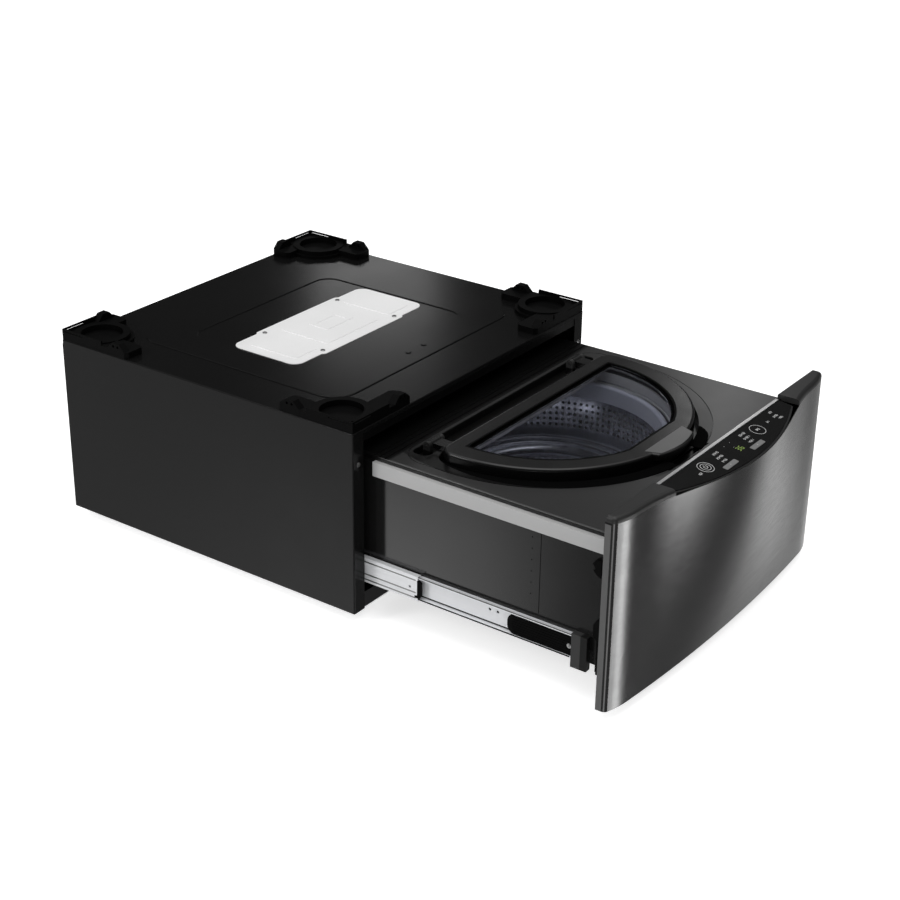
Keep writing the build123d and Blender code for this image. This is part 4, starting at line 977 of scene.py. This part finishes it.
# Places on the strip: across from its middle and down from its rear edge
power_x = -0.0955
start_x = 0.078
round_key_down = 0.0235
bar_key_down = 0.047
left_key_x = -0.0565
right_key_x = 0.0335
panel_ring = 0.0137
key_ring = 0.0088
key_dot = 0.0009
line_width = 0.0009
# Lists above the option keys: the way to the first line, and from line to line
list_across = 0.0098
list_down = 0.0131
list_lean = 0.0035
list_pitch = 0.0105
option_lists = ((left_key_x, ("12345", "23456", "3456")), (right_key_x, ("65432", "54321", "4321")))
panel_texts = (
    (0.1457, 0.0106, "123"),
    (0.1148, 0.0228, "24"),
    (0.143, 0.0222, "3456"),
    (0.1463, 0.0307, "480"),
    (-0.1206, 0.0283, "102"),
)
panel_dots = ((-0.0155, 0.0124), (0.0034, 0.0119), (-0.0044, 0.0242))
panel_dot = 0.0006
lit_down = 0.0326
lit_height = 0.0095
lit_stroke = 0.0013
# The power key's open ring, and the start key's triangle and two bars
glyph_reach = 0.0036
glyph_stroke = 0.0011
glyph_start = radians(40)
glyph_sweep = radians(280)
point_x = start_x - 0.0005
point_back = 0.0034
point_tip = 0.0012
point_half = 0.003
pause_start = 0.0022
pause_pitch = 0.0018
pause_stroke = 0.0008


def make_marks():
    """Printed marks on the panel and on the keys, and the lit number."""
    panel = Form()
    for x in (power_x, start_x):
        arc_mark(panel, x, round_key_down, panel_ring, line_width)
    for x, texts in option_lists:
        for line, text in enumerate(texts):
            across = x + list_across - list_lean * line
            numerals(panel, text, across, list_down + list_pitch * line)
    for across, down in panel_dots:
        dot_mark(panel, across, down, panel_dot)
    for across, down, text in panel_texts:
        numerals(panel, text, across, down)
    panel.piece("panel_marks", print_grey, "drawer", smooth=False)

    lit = Form()
    numerals(lit, "36", 0.0, lit_down, lit_height, lit_stroke)
    lit.piece("lit_number", lit_green, "drawer", smooth=False)

    power = Form()
    arc_mark(power, power_x, round_key_down, key_ring, line_width, key_top)
    arc_mark(power, power_x, round_key_down, glyph_reach, glyph_stroke, key_top, glyph_start, glyph_sweep)
    bar_mark(power, power_x, round_key_down - glyph_reach, glyph_stroke, glyph_reach, key_top)
    power.piece("power_mark", print_grey, "power_key", smooth=False)

    start = Form()
    triangle = [
        (point_x - point_back, round_key_down - point_half),
        (point_x + point_tip, round_key_down),
        (point_x - point_back, round_key_down + point_half),
    ]
    print_mark(start, triangle, key_top)
    for step in (0, 1):
        x = point_x + pause_start + pause_pitch * step
        bar_mark(start, x, round_key_down, pause_stroke, 2 * point_half, key_top)
    start.piece("start_mark", print_grey, "start_key", smooth=False)

    for x, body in ((left_key_x, "left_key"), (right_key_x, "right_key")):
        key = Form()
        dot_mark(key, x, bar_key_down, key_dot, key_top)
        key.piece(f"{body}_mark", print_grey, body, smooth=False)


make_marks()

# Drawer sides: a joint line, a row of small dents and two black catches by the front
mark_sunk = -0.0002
mark_proud = 0.00015
seam_y = -0.402
seam_z = 0.193
seam_width = 0.0011
seam_height = 0.148
dents_y = -0.386
dent_count = 6
dent_first = 0.15
dent_pitch = 0.02
dent_radius = 0.0011
dent_sides = 12
catch_sunk = -0.0005
hook_proud = 0.006
link_proud = 0.008
hook = [(-0.514, 0.222), (-0.506, 0.226), (-0.5, 0.233), (-0.504, 0.236), (-0.498, 0.244)]
hook += [(-0.504, 0.251), (-0.514, 0.253)]
link = [(-0.522, 0.054), (-0.514, 0.054), (-0.513, 0.114), (-0.507, 0.12), (-0.506, 0.14)]
link += [(-0.511, 0.149), (-0.522, 0.151)]


def make_side_marks():
    """The lines, dents and catches of both drawer sides."""
    lines = Form()
    catches = Form()
    for sign in (-1, 1):
        place = on_side(sign, drawer_face)
        lines.prism(rectangle(seam_y, seam_z, seam_width, seam_height), place, mark_sunk, mark_proud)
        for dent in range(dent_count):
            outline = circle(dent_radius, dent_sides, dents_y, dent_first + dent_pitch * dent)
            lines.prism(outline, place, mark_sunk, mark_proud)
        catches.prism(hook, place, catch_sunk, hook_proud)
        catches.prism(link, place, catch_sunk, link_proud)
    lines.piece("side_lines", black_plastic, "drawer", smooth=False)
    catches.piece("side_catches", black_plastic, "drawer", smooth=False)


make_side_marks()

# Drawer runners: fittings that show on both sides
web_face = 0.3015
clip_inset = 0.006
clip_sunk = -0.0022
clip_proud = 0.0003
# An end clip's corners: along from the member's end, and up from the clip's lower or upper edge
clip_foot = ((-0.008, 0.008), (-0.004, 0.0), (0.006, 0.0), (0.006, 0.004), (0.001, 0.005))
clip_head = ((0.001, -0.001), (-0.003, 0.0), (-0.008, -0.003))
# The dark lines along the runners are painted shade in their gaps and folds
gap_height = 0.0024
gap_sunk = -0.0002
gap_proud = 0.0001
gap_inset = 0.002
middle_shade_lines = (0.0722, 0.082, 0.105)
middle_gap_end = -0.03
web_shade_lines = (0.0722,)
inner_shade_lines = (0.0701,)
rib_count = 7
rib_height = 0.0012
rib_inset = 0.004
rib_taper = 0.006
rib_sunk = -0.0003
rib_proud = 0.0006
screw_y = -0.4655
screw_z = 0.088
screw_flat = 0.6
bead_steps = 8
bead_half = 0.0014
bead_rise = 0.0007
bead_inset = 0.00055
bead_front = 0.0045
bead_rear = 0.002
middle_beads = (0.0775, 0.1)
web_beads = (0.1045,)


def make_clips():
    """The end clips of the middle members."""
    form = Form()
    front = middle_low.y
    shape = [(front + along, middle_low.z + clip_inset + up) for along, up in clip_foot]
    shape += [(front + along, middle_high.z - clip_inset + up) for along, up in clip_head]
    for sign in (-1, 1):
        form.prism(shape, on_side(sign, middle_high.x), clip_sunk, clip_proud)
    form.piece("runner_clips", black_plastic, "slide_middles")


def add_shade_lines(form, start, end, reach, heights):
    """Dark lines of painted shade along both runners, at these heights."""
    for sign in (-1, 1):
        for height in heights:
            outline = rectangle((start + end) / 2, height, end - start, gap_height)
            form.prism(outline, on_side(sign, reach), gap_sunk, gap_proud)


def make_shade_lines():
    """Painted shade in the gaps between the members and along the folds of the runners."""
    middle = Form()
    add_shade_lines(middle, middle_low.y + 2 * gap_inset, middle_gap_end, middle_high.x, middle_shade_lines)
    middle.piece("middle_shade_lines", dark_steel, "slide_middles", smooth=False)
    inner = Form()
    add_shade_lines(inner, inner_low.y + gap_inset, inner_high.y, web_face, web_shade_lines)
    add_shade_lines(inner, inner_low.y + gap_inset, inner_high.y, inner_high.x, inner_shade_lines)
    inner.piece("inner_shade_lines", black_plastic, "drawer", smooth=False)


def make_cover_fittings():
    """The ribs and the screws of the runner covers."""
    ribs = Form()
    screws = Form()
    for sign in (-1, 1):
        place = on_side(sign, cover_high.x)
        for rib in range(rib_count):
            height = cover_low.z + (cover_high.z - cover_low.z) * (rib + 1) / (rib_count + 1)
            shrink = rib_taper * (1 + abs(rib - (rib_count - 1) / 2) / rib_count)
            middle = (cover_low.y + cover_high.y) / 2 - shrink / 2
            length = cover_high.y - cover_low.y - rib_inset - shrink
            ribs.prism(rectangle(middle, height, length, rib_height), place, rib_sunk, rib_proud)
        add_screw(
            screws,
            lambda across, up, out, place=place: place(screw_y + across, screw_z + up, out * screw_flat),
        )
    ribs.piece("runner_cover_ribs", black_plastic, "drawer")
    screws.piece("runner_screws", screw_steel, "drawer")


def make_beads(body, low, high, reach, heights):
    """Half-round beads along the runner members of one body."""
    form = Form()
    for sign in (-1, 1):
        for height in heights:
            rings = []
            for along in (low.y + bead_front, high.y - bead_rear):
                ring = []
                for lean in part_turn(pi, bead_steps):
                    out = sign * (reach + bead_rise * sin(lean))
                    ring.append(Vector((out, along, height + bead_half * cos(lean))))
                rings.append(ring)
            form.loops(rings, closed_ends=True)
    form.piece(f"{body}_beads", zinc_steel, body)


make_beads("slide_middles", middle_low, middle_high, middle_high.x - bead_inset, middle_beads)
make_beads("drawer", inner_low, inner_high, web_face, web_beads)
make_clips()
make_shade_lines()
make_cover_fittings()

# Three small dimples near the front edge of the top plate
dimples = ((-0.0351, -0.0538), (-0.001, -0.0549), (0.0277, -0.0558))
dimple_shape = ((0.0026, -0.0005), (0.0026, 0.0002), (0.0018, 0.0009), (0.0006, 0.0012))
dimple_sides = 16
plate_drop = 0.003


def make_dimples():
    """The dimples, as low raised beads."""
    form = Form()
    for x, y in dimples:
        middle = Vector((x, y, top_face - plate_drop))
        rings = []
        for reach, up in dimple_shape:
            rise = Vector((0, 0, up))
            rings.append([middle + reach * outward(turn) + rise for turn in full_turn(dimple_sides)])
        form.loops(rings, closed_ends=True)
    form.piece("top_dimples", cabinet_paint, "cabinet")


make_dimples()


# Floor, world and lamps

floor_reach = 12.0
floor_tone = grey(0.88)
floor_lift = 0.65


def make_floor():
    """A pale floor, white for the camera but for the shadow."""
    mesh = bpy.data.meshes.new("floor")
    points = [(floor_reach * x, floor_reach * y, 0) for x, y in square_corners]
    mesh.from_pydata(points, [], [(0, 1, 2, 3)])
    floor = put("floor", mesh)
    floor.visible_glossy = False
    material = new_material("floor", floor_tone, 0.9, specular=0.0)
    vary_roughness(material, 0.85, 0.95, 3.0)
    tree = material.node_tree
    shader = shader_of(material)
    path = tree.nodes.new("ShaderNodeLightPath")
    lift = calc(tree, "MULTIPLY", path.outputs["Is Camera Ray"], floor_lift)
    shader.inputs["Emission Color"].default_value = (1, 1, 1, 1)
    tree.links.new(lift, shader.inputs["Emission Strength"])
    mesh.materials.append(material)


# What mirrors see, by height and by turn in degrees from straight ahead of the washer
mirror_low = 0.11
mirror_level = 0.04
mirror_high = 0.8
horizon = (-0.05, 0.02)
overhead = (0.6, 0.8)
# Each band below the horizon: start, full, fade and end of its turn, and how much it adds
mirror_bands = (
    (-181, -180, -131, -125, 0.5),
    (18, 29, 33, 40, 5.2),
    (14, 24, 36, 52, 0.3),
    (-85, -65, -58, -42, 1.3),
)
# Two soft boxes: a band each, and how it fades upward from start to end and to what rest
mirror_boxes = (
    ((-137, -128, -124.5, -121.6, 1.5), (-0.5, -0.4, 0.2)),
    ((66, 82, 178, 181, 1.0), (-0.47, -0.42, 0.25)),
)
soft_level = 0.6
bounced_once = 0.5


def smooth(tree, value, start, end, low, high):
    """A ramp that eases in and out."""
    return ramp(tree, value, start, end, low, high, "SMOOTHSTEP")


def band_of_light(tree, value, start, full, fade, end, level):
    """Rises to a level between start and full and falls away between fade and end."""
    rising = smooth(tree, value, start, full, 0.0, level)
    return calc(tree, "MULTIPLY", rising, smooth(tree, value, fade, end, 1.0, 0.0))


def background(tree, strength):
    """A white background."""
    shader = tree.nodes.new("ShaderNodeBackground")
    shader.inputs["Color"].default_value = (1, 1, 1, 1)
    feed(tree, shader.inputs["Strength"], strength)
    return shader.outputs[0]


def mix_shaders(tree, share, one, two):
    """Shader one where the share is 0 and shader two where it is 1."""
    mixed = tree.nodes.new("ShaderNodeMixShader")
    for socket, value in zip(mixed.inputs, (share, one, two)):
        tree.links.new(value, socket)
    return mixed.outputs[0]


def mirrored_strength(tree):
    """The studio that glossy surfaces mirror: bands low down, dark ahead, bright overhead."""
    way = object_place(tree, "Generated")
    height = one_axis(tree, way, "Z")
    ahead = calc(tree, "MULTIPLY", one_axis(tree, way, "Y"), -1.0)
    turn = calc(tree, "MULTIPLY", calc(tree, "ARCTAN2", one_axis(tree, way, "X"), ahead), 180 / pi)
    lights = [band_of_light(tree, turn, *band) for band in mirror_bands]
    for band, (start, end, rest) in mirror_boxes:
        fading = smooth(tree, height, start, end, 1.0, rest)
        lights.append(calc(tree, "MULTIPLY", band_of_light(tree, turn, *band), fading))
    low = calc(tree, "ADD", lights[0], mirror_low)
    for light in lights[1:]:
        low = calc(tree, "ADD", low, light)
    low = calc(tree, "MULTIPLY", low, smooth(tree, height, *horizon, 1.0, 0.0))
    return calc(tree, "ADD", low, smooth(tree, height, *overhead, mirror_level, mirror_high))


def make_world():
    """White for the camera and through glass, a studio for mirrors, a soft level for the rest."""
    world = bpy.data.worlds.new("studio")
    bpy.context.scene.world = world
    world.use_nodes = True
    tree = world.node_tree
    tree.nodes.clear()
    output = tree.nodes.new("ShaderNodeOutputWorld")
    path = tree.nodes.new("ShaderNodeLightPath").outputs
    bounced = calc(tree, "ADD", path["Glossy Depth"], path["Diffuse Depth"])
    straight = calc(tree, "LESS_THAN", bounced, bounced_once)
    through = calc(tree, "MULTIPLY", path["Is Transmission Ray"], straight)
    seen = calc(tree, "MAXIMUM", path["Is Camera Ray"], through)
    matt = calc(tree, "GREATER_THAN", path["Diffuse Depth"], bounced_once)
    mirrored = background(tree, mirrored_strength(tree))
    lit = mix_shaders(tree, matt, mirrored, background(tree, soft_level))
    shown = mix_shaders(tree, seen, lit, background(tree, 1.0))
    tree.links.new(shown, output.inputs["Surface"])


def make_lamp(name, place, target, size, power):
    """A square soft box at a place, turned to a target."""
    data = bpy.data.lights.new(name, "AREA")
    data.size = size
    data.energy = power
    lamp = put(name, data)
    lamp.location = place
    lamp.rotation_euler = (Vector(target) - Vector(place)).to_track_quat("-Z", "Y").to_euler()
    lamp.visible_camera = False


# Lamps: place, target, size and power
lamps = {
    "overhead": ((-0.6, -0.4, 3.0), (0, 0, 0.2), 2.4, 24),
    "key": ((-2.6, 1.4, 1.9), (0, 0, 0.3), 0.8, 22),
}
# Lamps that a spot mirrors towards the camera: the spot, the way to the lamp, size and power
glint_distance = 4.0
glints = {
    "top_glint": ((0.27, 0.363, 0.348), (0.74, 0.578, 0.343), 0.5, 1.3),
    "cover_glint": ((0.285, -0.42, 0.301), (0.823, 0.407, 0.397), 0.3, 1.5),
}

make_floor()
make_world()
for name, settings in lamps.items():
    make_lamp(name, *settings)
for name, (spot, way, size, power) in glints.items():
    make_lamp(name, Vector(spot) + glint_distance * Vector(way).normalized(), spot, size, power)

bpy.context.scene.view_settings.view_transform = "Standard"
